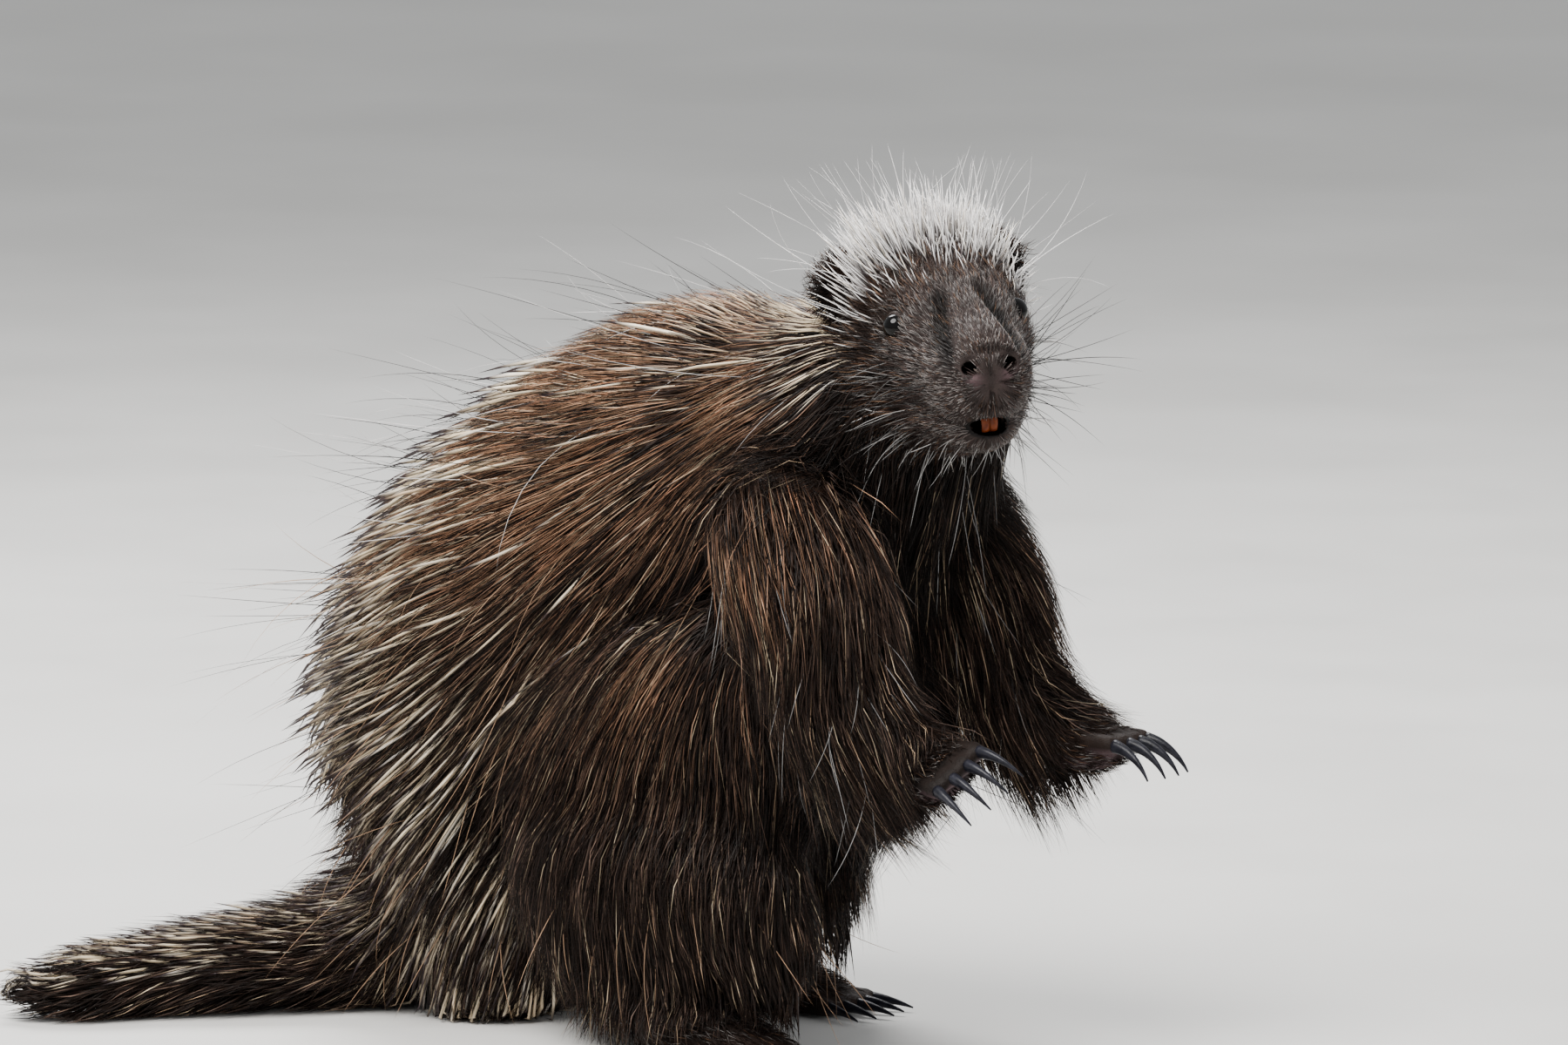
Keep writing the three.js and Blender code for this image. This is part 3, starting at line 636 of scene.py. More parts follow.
# Where a place lies on the animal decides its colours.
def fur_colour(places, out):
    """The colour of skin and underfur: dark, browner over the back and on the face, with painted
    shade that makes it darkest in the furrows beside the nose and round the eyes."""
    back = smooth(150, 330, places[:, 2]) * smooth(-0.2, 0.7, out[:, 2])
    head = moved(HEAD_BACK, places)
    # Painted shade: darker in the furrows beside the nose and round the eyes.
    shade = 1 - 0.85 * furrows(head)
    for far in eye_distances(places):
        shade = shade * (1 - 0.4 * bump(far, 9, 4))
    face = smooth(10, 50, head[:, 0]) * (distance(head[:, 1:], [0, -18]) < 60)
    brown = mix(BROWN, FACE_BROWN, face)
    return mix(BLACK, brown, np.maximum(0.25 + 0.55 * back, 0.75 * face)) * shade[:, None]


def set_colours(mesh, colours):
    layer = mesh.attributes.new("Coat", "FLOAT_COLOR", "POINT")
    full = np.ones((len(mesh.vertices), 4), np.float32)
    full[:, :3] = colours
    layer.data.foreach_set("color", full.ravel())


def colour_skin(skin):
    """Fur colour, with bare skin under the nostrils and on the palms, and painted shade in the
    openings.
    """
    places, out = mesh_places(skin.data), mesh_normals(skin.data)
    colours = fur_colour(places, out)
    head = moved(HEAD_BACK, places)
    for side in SIDES.values():
        x, y, z = NOSTRIL["at"]
        bare = bump(distance(head, [x + 1, (y - 0.5) * side, z - 6.5], [0.5, 0.8, 1]), 0, 3.8)
        colours = mix(colours, PINK * 1.3, 0.8 * bare * (head[:, 0] > 74))
        # Painted shade inside the nostril.
        deep = distance(head, [x - 6, y * side, z + 0.5], [1, 1.2, 1.3])
        colours = mix(colours, BLACK * 0.3, smooth(8, 5, deep))
    colours = mix(colours, colours * 0.55, smooth(0, 40, head[:, 0]))
    # Painted shade inside the mouth.
    from_mouth = distance(head, MOUTH["at"], 1 / np.array(MOUTH["size"]))
    colours = mix(colours, BLACK * 0.5, smooth(1.35, 1.1, from_mouth))
    raised = (places[:, 2] > 140) * (places[:, 2] < 200)
    palms = smooth(250, 285, places[:, 0]) * raised * smooth(-0.2, -0.7, out[:, 2])
    set_colours(skin.data, mix(colours, PINK * 0.5, palms * 0.7))


colour_skin(skin)


# Coat. Strands grow from roots spread over the skin, follow the lie of the coat and gather in
# clumps. Each is a slender three-sided body that ends in a point.
rng = np.random.default_rng(SEED)
DOWN = np.array([0.0, 0.0, -1.0])
NOSE_TIP = in_head([120, 0, -24])
FOLDS = ["fold_left", "fold_right"]
FORELEGS = ["foreleg_left", "foreleg_right"]
HINDLEGS = ["hindleg_left", "hindleg_right"]
LEGS = FORELEGS + HINDLEGS
PAWS = ["forepaw_left", "forepaw_right", "hindfoot_left", "hindfoot_right"]
FLOOR_CLEAR = 1.5
PAST_BOX = [13, 9.5, 22]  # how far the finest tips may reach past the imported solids' box
LOWEST = (np.array(cad_box[0]) - SHIFT) / MM - PAST_BOX
HIGHEST = (np.array(cad_box[1]) - SHIFT) / MM + PAST_BOX
LOWEST[2] = FLOOR_CLEAR
ATLAS_CELLS = 5  # to a side of the coat's unwrap, one for each body
CELL_FILL = 0.19  # how far a body's unwrap reaches in its cell
ATLAS = {
    name: np.array([i % ATLAS_CELLS, i // ATLAS_CELLS]) / ATLAS_CELLS
    for i, name in enumerate(lofts)
}
PATCH = 0.003  # how far a strand's patch reaches across the bake map

# The bodies that a strand rooted on each body may lie over
NEIGHBOURS = {
    "head": ["head", "jaw", "neck"],
    "jaw": ["jaw", "head", "neck"],
    "neck": ["neck", "torso", "head", "jaw"] + FORELEGS,
    "torso": ["torso", "neck", "tail"] + LEGS + FOLDS,
    "tail": ["tail", "torso"],
}
for word in SIDES:
    for part, others in {
        "ear": ["head"],
        "fold": ["torso", "foreleg_" + word, "hindleg_" + word],
        "foreleg": ["forepaw_" + word, "torso", "fold_" + word],
        "forepaw": ["foreleg_" + word],
        "hindleg": ["hindfoot_" + word, "torso", "fold_" + word],
        "hindfoot": ["hindleg_" + word],
    }.items():
        NEIGHBOURS[part + "_" + word] = [part + "_" + word] + others


def body_lie(at, here):
    """Back and down, steeper towards the shoulder and the belly."""
    least = 14 + 16 * smooth(60, -40, at[:, 0])
    slope = np.radians(np.clip(93 + 0.23 * at[:, 0] - 0.22 * at[:, 2], least, 92))
    return np.stack([-np.cos(slope), np.zeros(len(at)), -np.sin(slope)], 1)


def head_lie(at, here):
    """Away from the nose, standing up on the crown."""
    crown = smooth(-0.2, 0.6, here["out"][:, 2]) * smooth(70, 120, distance(at, NOSE_TIP))
    return unit(unit(at - NOSE_TIP) + here["out"] * (0.1 + 0.75 * crown)[:, None])


def hind_lie(at, here):
    forward = 0.02 + 0.26 * smooth(50, 150, at[:, 0])
    return unit(np.stack([forward, np.zeros(len(at)), -np.ones(len(at))], 1))


LIES = {
    "head": head_lie,
    "jaw": head_lie,
    "neck": body_lie,
    "torso": body_lie,
    "fold": body_lie,
    "tail": lambda at, here: unit(here["along"] + here["out"] * 0.25),
    "ear": lambda at, here: unit(here["out"] * 0.8 + unit(at - NOSE_TIP) * 0.6),
    "foreleg": lambda at, here: unit(here["along"] * 0.75 + DOWN * 0.6),
    "forepaw": lambda at, here: unit(here["along"] + DOWN * 0.15),
    "hindleg": hind_lie,
    "hindfoot": lambda at, here: unit(here["along"] + DOWN * 0.15),
}


def waves(places, size):
    """A smooth, fixed unevenness between about -1 and 1, with bumps about size across."""
    p = places / size
    return (
        np.sin(p @ [1.9, 0.7, 1.3] + 1.7) * np.sin(p @ [-0.8, 2.1, 0.9] + 0.4)
        + np.sin(p @ [1.1, -1.4, 1.8] + 4.2) * np.sin(p @ [2.3, 0.6, -1.2] + 2.9)
    ) / 1.4


class Roots:
    """Places on a body's skin from which strands grow, with the body as it is there."""

    def __init__(self, body, at, uv, t):
        self.body, self.at, self.uv, self.t = body, at, uv, t
        self.size = len(at)
        self.here = lofts[body].over(at)
        self.out = self.here["out"]
        self.x, self.z, self.up = at[:, 0], at[:, 2], self.out[:, 2]
        self.head = moved(HEAD_BACK, at)
        self.lie = LIES[body.split("_")[0]]

    def only(self, keep):
        return Roots(self.body, self.at[keep], self.uv[keep], self.t[keep])


def roots_on(body, count, clear):
    """Seeded places spread evenly over a body's skin, clear of the other bodies and the eyes."""
    loft = lofts[body]
    share = rng.uniform(0, loft.area[-1], count)
    t = np.interp(share, loft.area, np.linspace(0, 1, len(loft.area)))
    angle = rng.uniform(0, 2 * math.pi, count)
    at = loft.surface(t, angle)
    keep = at[:, 2] > 2
    for other, form in lofts.items():
        if other != body:
            keep &= form.over(at)["height"] > clear
    for far in eye_distances(at):
        keep &= far > EYE["radius"] + 1.6
    uv = ATLAS[body] + CELL_FILL * np.stack([t, angle / (2 * math.pi)], 1)
    return Roots(body, at, uv, t).only(keep)


def dense_roots(body, density, clear):
    """Roots at a density per thousand square millimetres."""
    return roots_on(body, int(density * lofts[body].area[-1] / 1000), clear)


def animal_over(places, names):
    """The same as Loft.over, for whichever of the named bodies is nearest."""
    best = lofts[names[0]].over(places)
    for name in names[1:]:
        here = lofts[name].over(places)
        nearer = here["height"] < best["height"]
        for key in best:
            chosen = nearer[:, None] if best[key].ndim == 2 else nearer
            best[key] = np.where(chosen, here[key], best[key])
    return best


def along_skin(lie, out, at):
    """The lie without what points into the body. Over a shoulder or a thigh it turns outwards."""
    into = np.maximum(-(lie * out).sum(1) - 0.15, 0)[:, None]
    outward = np.zeros_like(at)
    outward[:, 1] = np.sign(at[:, 1])
    return unit(lie + out * into + outward * into * 0.9)


def slid(lift, out, lie):
    """Moves that change the height over a body by lift. A strand that runs into a body slides
    aside rather than back against its own lie."""
    ahead = (out * lie).sum(1)
    aside = unit(out - lie * (ahead * 0.85)[:, None])
    gain = np.maximum((aside * out).sum(1), 0.45)
    return aside * (lift / gain)[:, None]


LEAST = 0.6  # the share of its height that a strand keeps where the lie would sink it
WAVE_SIZE = 38  # millimetres
CLUMP_SIZE = 6  # strands
CHUNK = 4000  # strands matched to leaders at a time


def grow(roots, length, rise, steps, sink, stray, wave, hang=0.0, curl=0.0, clump=0.0):
    """Paths of strands: places and ways out, each strands by steps + 1 by 3. rise is how high
    over the skin a tip stands, and hang how far it may hang off a body that draws back."""
    rise = np.broadcast_to(rise, roots.size)
    at = roots.at.copy()
    path, outs = [at - roots.out * sink], [roots.out]
    uneven = np.stack([waves(at + 50 * k, WAVE_SIZE) for k in range(3)], 1)
    drift = rng.normal(0, stray, (roots.size, 3)) + wave * uneven
    bend = rng.normal(0, curl, (roots.size, 3))
    names = NEIGHBOURS[roots.body]
    for step in range(1, steps + 1):
        share = step / steps
        here = animal_over(at, names)
        lie = along_skin(unit(roots.lie(at, here) + drift + bend * share), here["out"], at)
        at = at + lie * (length / steps)[:, None]
        here = animal_over(at, names)
        high = rise * share**0.8
        low = high * LEAST
        high = high + hang * np.maximum(-here["out"][:, 2], 0) * share
        lift = np.clip(here["height"], low, high) - here["height"]
        at = np.clip(at + slid(lift, here["out"], lie), LOWEST, HIGHEST)
        path.append(at)
        outs.append(here["out"])
    path, outs = np.stack(path, 1), np.stack(outs, 1)
    if roots.body in ("head", "jaw"):
        path = path + outs * face_lift(path.reshape(-1, 3)).reshape(roots.size, -1, 1)
    if clump:
        path = gathered(path, clump)
    return path, outs


def gathered(path, strength):
    """Draws strands towards a leader that roots nearby, more towards their tips."""
    count = len(path)
    leaders = rng.choice(count, max(count // CLUMP_SIZE, 1), replace=False)
    nearest = np.empty(count, int)
    for start in range(0, count, CHUNK):
        far = ((path[start:start + CHUNK, None, 0] - path[None, leaders, 0]) ** 2).sum(-1)
        nearest[start:start + CHUNK] = far.argmin(1)
    lead = path[leaders[nearest]]
    share = (np.linspace(0, 1, path.shape[1]) ** 1.2 * strength)[None, :, None]
    beside = (path[:, :1] - lead[:, :1]) * 0.25
    return path * (1 - share) + (lead + beside) * share


def strand_corners(path, outs, wide, thick, taper, belly):
    """The corners of strands: rings of three along each, then its tip."""
    points = path.shape[1]
    last = points - 1
    share = np.linspace(0, 1, points)[None, :last, None]
    size = wide[:, None, None] * ((1 - share**taper) * (1 + belly * share))
    along = unit(path[:, 1:] - path[:, :-1])
    across = unit(np.cross(along, outs[:, :last]))
    up = np.cross(across, along)
    ring = [
        path[:, :last] + across * size - up * size * thick * 0.5,
        path[:, :last] - across * size - up * size * thick * 0.5,
        path[:, :last] + up * size * thick,
    ]
    return np.concatenate([np.stack(ring, 2).reshape(len(path), last * 3, 3), path[:, last:]], 1)


def strand_faces(last):
    """The triangles of one strand with this many rings."""
    faces = []
    for i in range(last - 1):
        for j in range(3):
            a, b = i * 3 + j, i * 3 + (j + 1) % 3
            faces += [(a, b + 3, b), (a, a + 3, b + 3)]
    first, tip = (last - 1) * 3, last * 3
    return np.array(faces + [(first + j, tip, first + (j + 1) % 3) for j in range(3)])


def strand_mesh(name, path, outs, wide, colours, uv, thick, taper, belly=0.0):
    """A mesh of strands. wide is the half width at the root; colours has a row for each point of
    each path; uv has a corner for each strand; belly fattens the middle of a strand."""
    count, last = len(path), path.shape[1] - 1
    corners = strand_corners(path, outs, wide, thick, taper, belly)
    firsts = np.arange(count)[:, None, None] * corners.shape[1]
    index = (strand_faces(last)[None] + firsts).reshape(-1)
    total = len(index) // 3
    mesh = bpy.data.meshes.new(name)
    mesh.vertices.add(count * corners.shape[1])
    mesh.vertices.foreach_set("co", to_frame(corners.reshape(-1, 3)).ravel())
    mesh.loops.add(len(index))
    mesh.loops.foreach_set("vertex_index", index.astype(np.int32))
    mesh.polygons.add(total)
    mesh.polygons.foreach_set("loop_start", np.arange(0, len(index), 3, dtype=np.int32))
    mesh.polygons.foreach_set("loop_total", np.full(total, 3, np.int32))
    mesh.polygons.foreach_set("use_smooth", np.ones(total, bool))
    mesh.update(calc_edges=True)
    rings = np.repeat(colours[:, :last], 3, axis=1)
    set_colours(mesh, np.concatenate([rings, colours[:, last:]], 1).reshape(-1, 3))
    across = np.append(np.tile([0.0, 1.0, 0.5], last), 0.5)
    along = np.append(np.repeat(np.arange(last), 3), last) / last
    corner_uv = (uv[:, None] + np.stack([across, along], 1)[None] * PATCH).reshape(-1, 2)
    layer = mesh.uv_layers.new(name="OFBake")
    layer.data.foreach_set("uv", corner_uv[index].astype(np.float32).ravel())
    return mesh


def banded(points, stops):
    """Colours along strands. stops are pairs of a share of the length and a row for each strand."""
    rows = []
    for at in np.linspace(0, 1, points):
        for (low, a), (high, b) in zip(stops, stops[1:]):
            if low <= at <= high:
                rows.append(mix(a, b, np.full(len(a), (at - low) / (high - low))))
                break
    return np.stack(rows, 1)


pieces = {}


def add_coat(name, parts, wide, **shape):
    """One coat piece from several bodies' strands, given as path, outs, colours, uv and scale."""
    path, outs, colours, uv, scale = (np.concatenate(column) for column in zip(*parts))
    pieces[name] = new_object(name, strand_mesh(name, path, outs, wide * scale, colours, uv, **shape))


def coat_depth(roots):
    """The coat's depth at each root. The legs keep theirs full to the top, where the flank's ends."""
    if roots.body in LEGS:
        return np.maximum(roots.here["coat"], 30 * smooth(0.85, 0.35, roots.t))
    return roots.here["coat"]


# Underfur and guard hair
UNDERFUR_STEPS = 2
UNDERFUR_RISE = 0.6  # as a share of the coat's depth
GUARD_STEPS = 3
UNDERFUR = {"thick": 0.5, "taper": 2.2}
GUARD_HAIR = {"thick": 0.8, "taper": 2.4}


def underfur(body, density, length):
    roots = dense_roots(body, density, clear=-2)
    reach = length * rng.uniform(0.75, 1.25, roots.size)
    rise = coat_depth(roots) * UNDERFUR_RISE
    path, outs = grow(roots, reach, rise, UNDERFUR_STEPS, sink=2.5, stray=0.18, wave=0.25, hang=10)
    tone = fur_colour(roots.at, roots.out) * rng.uniform(0.6, 1.3, (roots.size, 1))
    colours = banded(UNDERFUR_STEPS + 1, [(0, tone * 0.5), (0.6, tone), (1, tone * 1.3)])
    return path, outs, colours, roots.uv, rng.uniform(0.7, 1.3, roots.size)


def guard_hair(body, density, length, hang):
    roots = dense_roots(body, density, clear=-2)
    reach = length(roots) * rng.uniform(0.72, 1.18, roots.size)
    rise = coat_depth(roots) * rng.uniform(0.55, 1.08, roots.size)
    path, outs = grow(roots, reach, rise, GUARD_STEPS, sink=2.5, stray=0.08, wave=0.15,
                      hang=hang, curl=0.06, clump=0.24)
    return path, outs, guard_colours(roots), roots.uv, rng.uniform(0.6, 1.3, roots.size)


def warmth(roots):
    """How far bands of rust and tan show: most over the back, less on the legs."""
    warm = smooth(160, 330, roots.z) * smooth(-0.6, 0.6, roots.up) * smooth(235, 140, roots.x)
    warm = np.clip(warm * (0.85 + 0.35 * waves(roots.at, 30)), 0, 1)
    if roots.body in LEGS:
        warm = warm * (0.3 + 0.6 * smooth(0.45, 0.12, roots.t))
    return warm


def guard_colours(roots):
    """Dark hair among bands of rust, tan and ivory. Some bands lie before the tip, some at it."""
    size = roots.size
    warm = warmth(roots)
    # Painted shade under the chest, where the fur faces down: darker hair and fewer light bands.
    chest_shade = smooth(120, 190, roots.x) * smooth(0.3, -0.3, roots.up)
    if roots.body in LEGS:
        chest_shade = chest_shade * 0.4
    low_arm = 0.35 + 0.65 * smooth(1.0, 0.55, roots.t) if roots.body in FORELEGS else 1.0
    pale_share = (0.055 + 0.05 * warm) * (1 - 0.7 * chest_shade) * low_arm
    light_share = (0.24 + 0.44 * warm) * (1 - 0.8 * chest_shade) * low_arm
    kind = rng.uniform(0, 1, size)
    pale = (kind < pale_share)[:, None]
    light = (kind < pale_share + light_share)[:, None]
    late = (rng.uniform(0, 1, size) < 0.5)[:, None]
    tone = rng.uniform(0.55, 1.3, (size, 1))
    dark = mix(BLACK, BROWN, rng.uniform(0, 0.7, size)) * tone * 0.7 * (1 - 0.5 * chest_shade)[:, None]
    glow = mix(mix(CHESTNUT, RUST, warm), TAN, warm * rng.uniform(0, 1, size) ** 1.5) * tone
    ivory = mix(TAN, IVORY, rng.uniform(0.1, 1, size)) * 0.85
    glow = np.where(pale, ivory, glow * (1.15 + 0.3 * warm)[:, None])
    faint = mix(dark, glow, np.full(size, 0.25))
    middle = np.where(light, np.where(late, faint, glow), dark * 1.3)
    tip = np.where(light & late, glow * 1.15, dark)
    stops = [(0, dark * 0.5), (0.34, dark), (0.5, middle), (0.8, middle), (1, tip)]
    return banded(GUARD_STEPS + 1, stops)


def torso_length(roots):
    beside = smooth(60, 110, roots.x) * smooth(190, 240, roots.z) * smooth(0.5, 0.1, roots.up)
    low = smooth(200, 120, roots.z)
    return 90 - 14 * smooth(-0.2, 0.8, roots.up) + 12 * low + 26 * beside


body_underfur = [underfur(body, 36, 40) for body in ["torso", "neck"] + FOLDS]
add_coat("underfur_body", body_underfur, 0.95, **UNDERFUR)
limb_underfur = [underfur(body, 44, 36) for body in ["tail"] + LEGS]
add_coat("underfur_limbs", limb_underfur, 0.9, **UNDERFUR)
for name, bodies, density, length, wide, hang in (  # strands per thousand mm2, then millimetres
    *((f"guard_torso_{layer}", ["torso"], 52, torso_length, 0.34, 18) for layer in range(3)),
    ("guard_flank", FOLDS, 112, lambda roots: 90, 0.34, 18),
    ("guard_neck", ["neck"], 230, lambda roots: 80, 0.36, 18),
    ("guard_foreleg", FORELEGS, 115, lambda roots: 36 + 42 * smooth(1.0, 0.6, roots.t), 0.33, 48),
    ("guard_hindleg", HINDLEGS, 80, lambda roots: 34 + 46 * smooth(0.9, 0.2, roots.t), 0.35, 18),
    ("guard_tail", ["tail"], 80, lambda roots: 30 + 22 * smooth(1.0, 0.5, roots.t), 0.4, 18),
):
    add_coat(name, [guard_hair(body, density, length, hang) for body in bodies], wide, **GUARD_HAIR)


# Quills
def quills(body, density, length, wanted, rise, white, steps, sink=4.0, stray=0.05, spread=(0.7, 1.1),
           grown=None):
    """Quills on a body: ivory with dark tips, or with white near 1 dark at the root and white-tipped.
    wanted is the share of roots that have one, and grown the share of its full length and width."""
    roots = dense_roots(body, density, clear=2)
    roots = roots.only(rng.uniform(0, 1, roots.size) < wanted(roots))
    size = roots.size
    full = np.ones(size) if grown is None else grown(roots)
    reach = length * full * rng.uniform(0.65, 1.15, size)
    tall = coat_depth(roots) * rise * full * rng.uniform(*spread, size)
    path, outs = grow(roots, reach, tall, steps, sink, stray, wave=0.1, hang=6, curl=0.02)
    paleness = rng.normal(white, 0.25, size)
    pale = mix(mix(IVORY, WHITE, np.clip(paleness, 0, 1)), TAN, np.clip(-paleness, 0, 1))
    pale = pale * rng.uniform(0.78 if white > 0.6 else 0.5, 1.0, (size, 1))
    dark = mix(PLUM, BROWN, rng.uniform(0, 0.5, size))
    if white > 0.6:
        stops = [(0, dark * 0.6), (0.3, dark), (0.55, pale * 0.75), (1, pale)]
    else:
        ring = mix(pale, dark, np.full(size, 0.3))
        stops = [(0, pale * 0.5), (0.3, pale), (0.6, pale), (0.66, ring), (0.76, dark), (1, dark)]
    return path, outs, banded(steps + 1, stops), roots.uv, rng.uniform(0.7, 1.25, size) * np.sqrt(full)


def rump_share(roots):
    behind = smooth(60, -60, roots.x) * smooth(0.1, -0.7, roots.out[:, 0])
    side = smooth(36, -60, roots.x) * smooth(340, 170, roots.z) * (np.abs(roots.out[:, 1]) > 0.2)
    return np.clip(behind + 0.8 * side + 0.02, 0, 1)


def on_back(least, low, high, most=1.0):
    """A share that grows from least, as the skin comes to face up, by most."""
    return lambda roots: least + most * smooth(low, high, roots.up)


def before_crown(head):
    """How far a place lies ahead of the line from over the brow to the cheeks behind the eyes."""
    return head[:, 0] + 0.3 * np.abs(head[:, 1]) - 0.55 * np.maximum(head[:, 2], 0)


def crown_share(roots):
    """Where the crown's quills grow: thinly on the brow, close together behind it, and not beside
    the ears, whose own fuzz shows there."""
    head = roots.head
    ahead, aside, height = EAR["at"]
    from_ears = [distance(head, [ahead + 6, aside * side, height - 4]) for side in SIDES.values()]
    high = smooth(-24, 14, head[:, 2]) * (0.55 + 0.45 * smooth(8, 26, head[:, 2]))
    return smooth(36, -20, before_crown(head)) ** 1.5 * high * smooth(17, 27, np.minimum(*from_ears))


def crown_grown(roots):
    return 0.42 + 0.58 * smooth(30, -26, before_crown(roots.head))


def cheek_quills(roots):
    return smooth(24, 0, roots.head[:, 0])


rump = quills("torso", 25, 84, rump_share, 1.15, 0.1, 5, spread=(0.6, 1.35))
add_coat("quills_rump", [rump], 0.95, thick=1.3, taper=2.6, belly=0.5)
back = quills("torso", 22, 32, on_back(0.1, 0.1, 0.8, 0.5), 0.95, -0.55, 4)
nape = quills("neck", 36, 38, on_back(0, -0.1, 0.5, 0.8), 1.0, -0.1, 4)
add_coat("quills_back", [back, nape], 0.37, thick=1.2, taper=2.6, belly=0.4)
crown = quills("head", 150, 46, crown_share, 1.5, 0.95, 4, 2, 0.1, (0.65, 1.75), crown_grown)
cheek = quills("jaw", 24, 32, cheek_quills, 1.6, 0.9, 4, 2, 0.2, (0.6, 1.5))
add_coat("quills_crown", [crown, cheek], 0.52, thick=1.1, taper=2.4, belly=0.4)
tail = quills("tail", 18, 40, on_back(0, -0.2, 0.5), 1.0, 0.1, 6)
add_coat("quills_tail", [tail], 0.85, thick=1.3, taper=2.6, belly=0.4)


# Short fur of the face, ears, paws and feet
def short_fur(name, bodies, density, length, wide, rise, keep=None, steps=2, stray=0.16, grey=0.14,
              rusty=0.06, bright=(0.15, 0.42)):
    """Hairs in the colour of the skin, with painted shade in the furrows beside the nose, and with
    shares of them grey and rusty at the tip. keep says which roots have one."""
    parts = []
    for body in bodies:
        roots = dense_roots(body, density, clear=0.5)
        if keep is not None:
            roots = roots.only(keep(roots))
        size = roots.size
        reach = length(roots) * rng.uniform(0.7, 1.25, size)
        path, outs = grow(roots, reach, rise(roots), steps, 1.2, stray, wave=0.1, curl=0.1)
        tone = fur_colour(roots.at, roots.out) * rng.uniform(0.4, 1.6, (size, 1))
        chance = rng.uniform(0, 1, size)[:, None]
        # Painted shade in the nose's furrows, on the tips too; the fur is also darker up the head.
        shade = (1 - 0.85 * furrows(roots.head)) * (1 - 0.35 * smooth(-4, 22, roots.head[:, 2]))
        fold = shade[:, None]
        tone = tone * (0.4 + 0.6 * fold)
        pale = mix(TAN, WHITE, np.full(size, 0.85)) * rng.uniform(*bright, (size, 1)) * fold
        tip = np.where(chance < grey, pale, tone * 1.3)
        tip = np.where(chance > 1 - rusty, mix(RUST, TAN, rng.uniform(0, 1, size)) * 0.5, tip)
        middle = mix(tone, tip, np.full(size, 0.6))
        colours = banded(steps + 1, [(0, tone * 0.5), (0.34, tone), (0.67, middle), (1, tip)])
        parts.append((path, outs, colours, roots.uv, rng.uniform(0.7, 1.3, size)))
    add_coat(name, parts, wide, thick=0.6, taper=2.0)


def cheek_share(roots):
    """0 on the muzzle and round the eyes, 1 where the long fur of the cheeks and forehead grows."""
    share = smooth(56, 12, roots.head[:, 0] + 0.25 * roots.head[:, 2])
    for far in eye_distances(roots.at):
        share = share * (0.25 + 0.75 * smooth(9, 24, far))
    return share


def muzzle_length(roots):
    return (6.5 + 9 * cheek_share(roots)) * (1 - 0.6 * smooth(76, 87, roots.head[:, 0]))


def on_muzzle_skin(roots):
    """Off the nostrils, the mouth and the cheeks."""
    ahead, aside, height = NOSTRIL["at"]
    keep = cheek_share(roots) < 0.7
    for side in SIDES.values():
        keep &= distance(roots.head, [ahead, aside * side, height], [0.6, 1, 1]) > 5.0
    return keep & ~inside(roots.head, (60, np.inf), (-1, 10), MOUTH["at"][2] + np.array([-5.5, 5.5]))


def inside(head, ahead, aside, height):
    """Whether places in the head's frame lie in three ranges, either side alike."""
    folded = np.stack([head[:, 0], np.abs(head[:, 1]), head[:, 2]], 1)
    low, high = np.array([ahead, aside, height]).T
    return ((folded > low) & (folded < high)).all(1)


short_fur("fur_muzzle", ["head", "jaw"], 620, muzzle_length, 0.24,
          lambda roots: 1.6 + 2.4 * cheek_share(roots), on_muzzle_skin,
          stray=0.2, grey=0.5, bright=(0.2, 0.62))
short_fur("fur_cheeks", ["head", "jaw"], 270, lambda roots: 9 + 23 * cheek_share(roots), 0.26,
          lambda roots: 1.4 + 10 * cheek_share(roots), lambda roots: cheek_share(roots) > 0.12, 3, 0.14,
          grey=0.15, rusty=0.16, bright=(0.16, 0.42))
short_fur("fur_ears", ["ear_left", "ear_right"], 520, lambda roots: 15.0, 0.3, lambda roots: 12.0,
          steps=3, stray=0.3, grey=0.02)
short_fur("fur_paws", PAWS, 250, lambda roots: 9.0 + 12 * (1 - roots.t), 0.3,
          lambda roots: 1.2 + roots.here["coat"] * 0.9)

# Sparse long hairs that stand out past the coat, and whiskers
LONG_STEPS = 8
TRIES = 12  # roots tried for each long hair wanted


def free_paths(roots, length, stand, sag, curl):
    """Hairs that leave the coat and curve freely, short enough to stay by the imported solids' box."""
    size = (roots.size, 3)
    start = unit(roots.lie(roots.at, roots.here) + roots.out * stand + rng.normal(0, 0.25, size))
    end = unit(start + rng.normal(0, curl, size) + DOWN * sag)
    at = roots.at - roots.out * 2
    path = [at]
    for step in range(LONG_STEPS):
        at = at + unit(mix(start, end, (step + 0.5) / LONG_STEPS)) * (length / LONG_STEPS)[:, None]
        path.append(at)
    path = np.stack(path, 1)
    reach = path - path[:, :1]
    room = np.where(reach > 0, HIGHEST - path[:, :1], path[:, :1] - LOWEST)
    share = (np.maximum(room, 0) / np.maximum(np.abs(reach), 1e-6)).min((1, 2))
    path = path[:, :1] + reach * np.minimum(share, 1)[:, None, None]
    return path, np.repeat(roots.out[:, None], LONG_STEPS + 1, 1)


def long_hair(name, picks, wide):
    parts = []
    for body, count, length, stand, sag, curl, colour, wanted in picks:
        roots = roots_on(body, count * TRIES, clear=1)
        roots = roots.only(wanted(roots))
        roots = roots.only(np.arange(roots.size) < count)
        path, outs = free_paths(roots, length * rng.uniform(0.6, 1.2, roots.size), stand, sag, curl)
        tone = colour * rng.uniform(0.7, 1.1, (roots.size, 1))
        colours = banded(LONG_STEPS + 1, [(0, tone * 0.3), (0.3, tone * 0.7), (1, tone)])
        parts.append((path, outs, colours, roots.uv, rng.uniform(0.8, 1.2, roots.size)))
    add_coat(name, parts, wide, thick=0.9, taper=3.0)


def on_crown(roots):
    return crown_share(roots) > 0.4


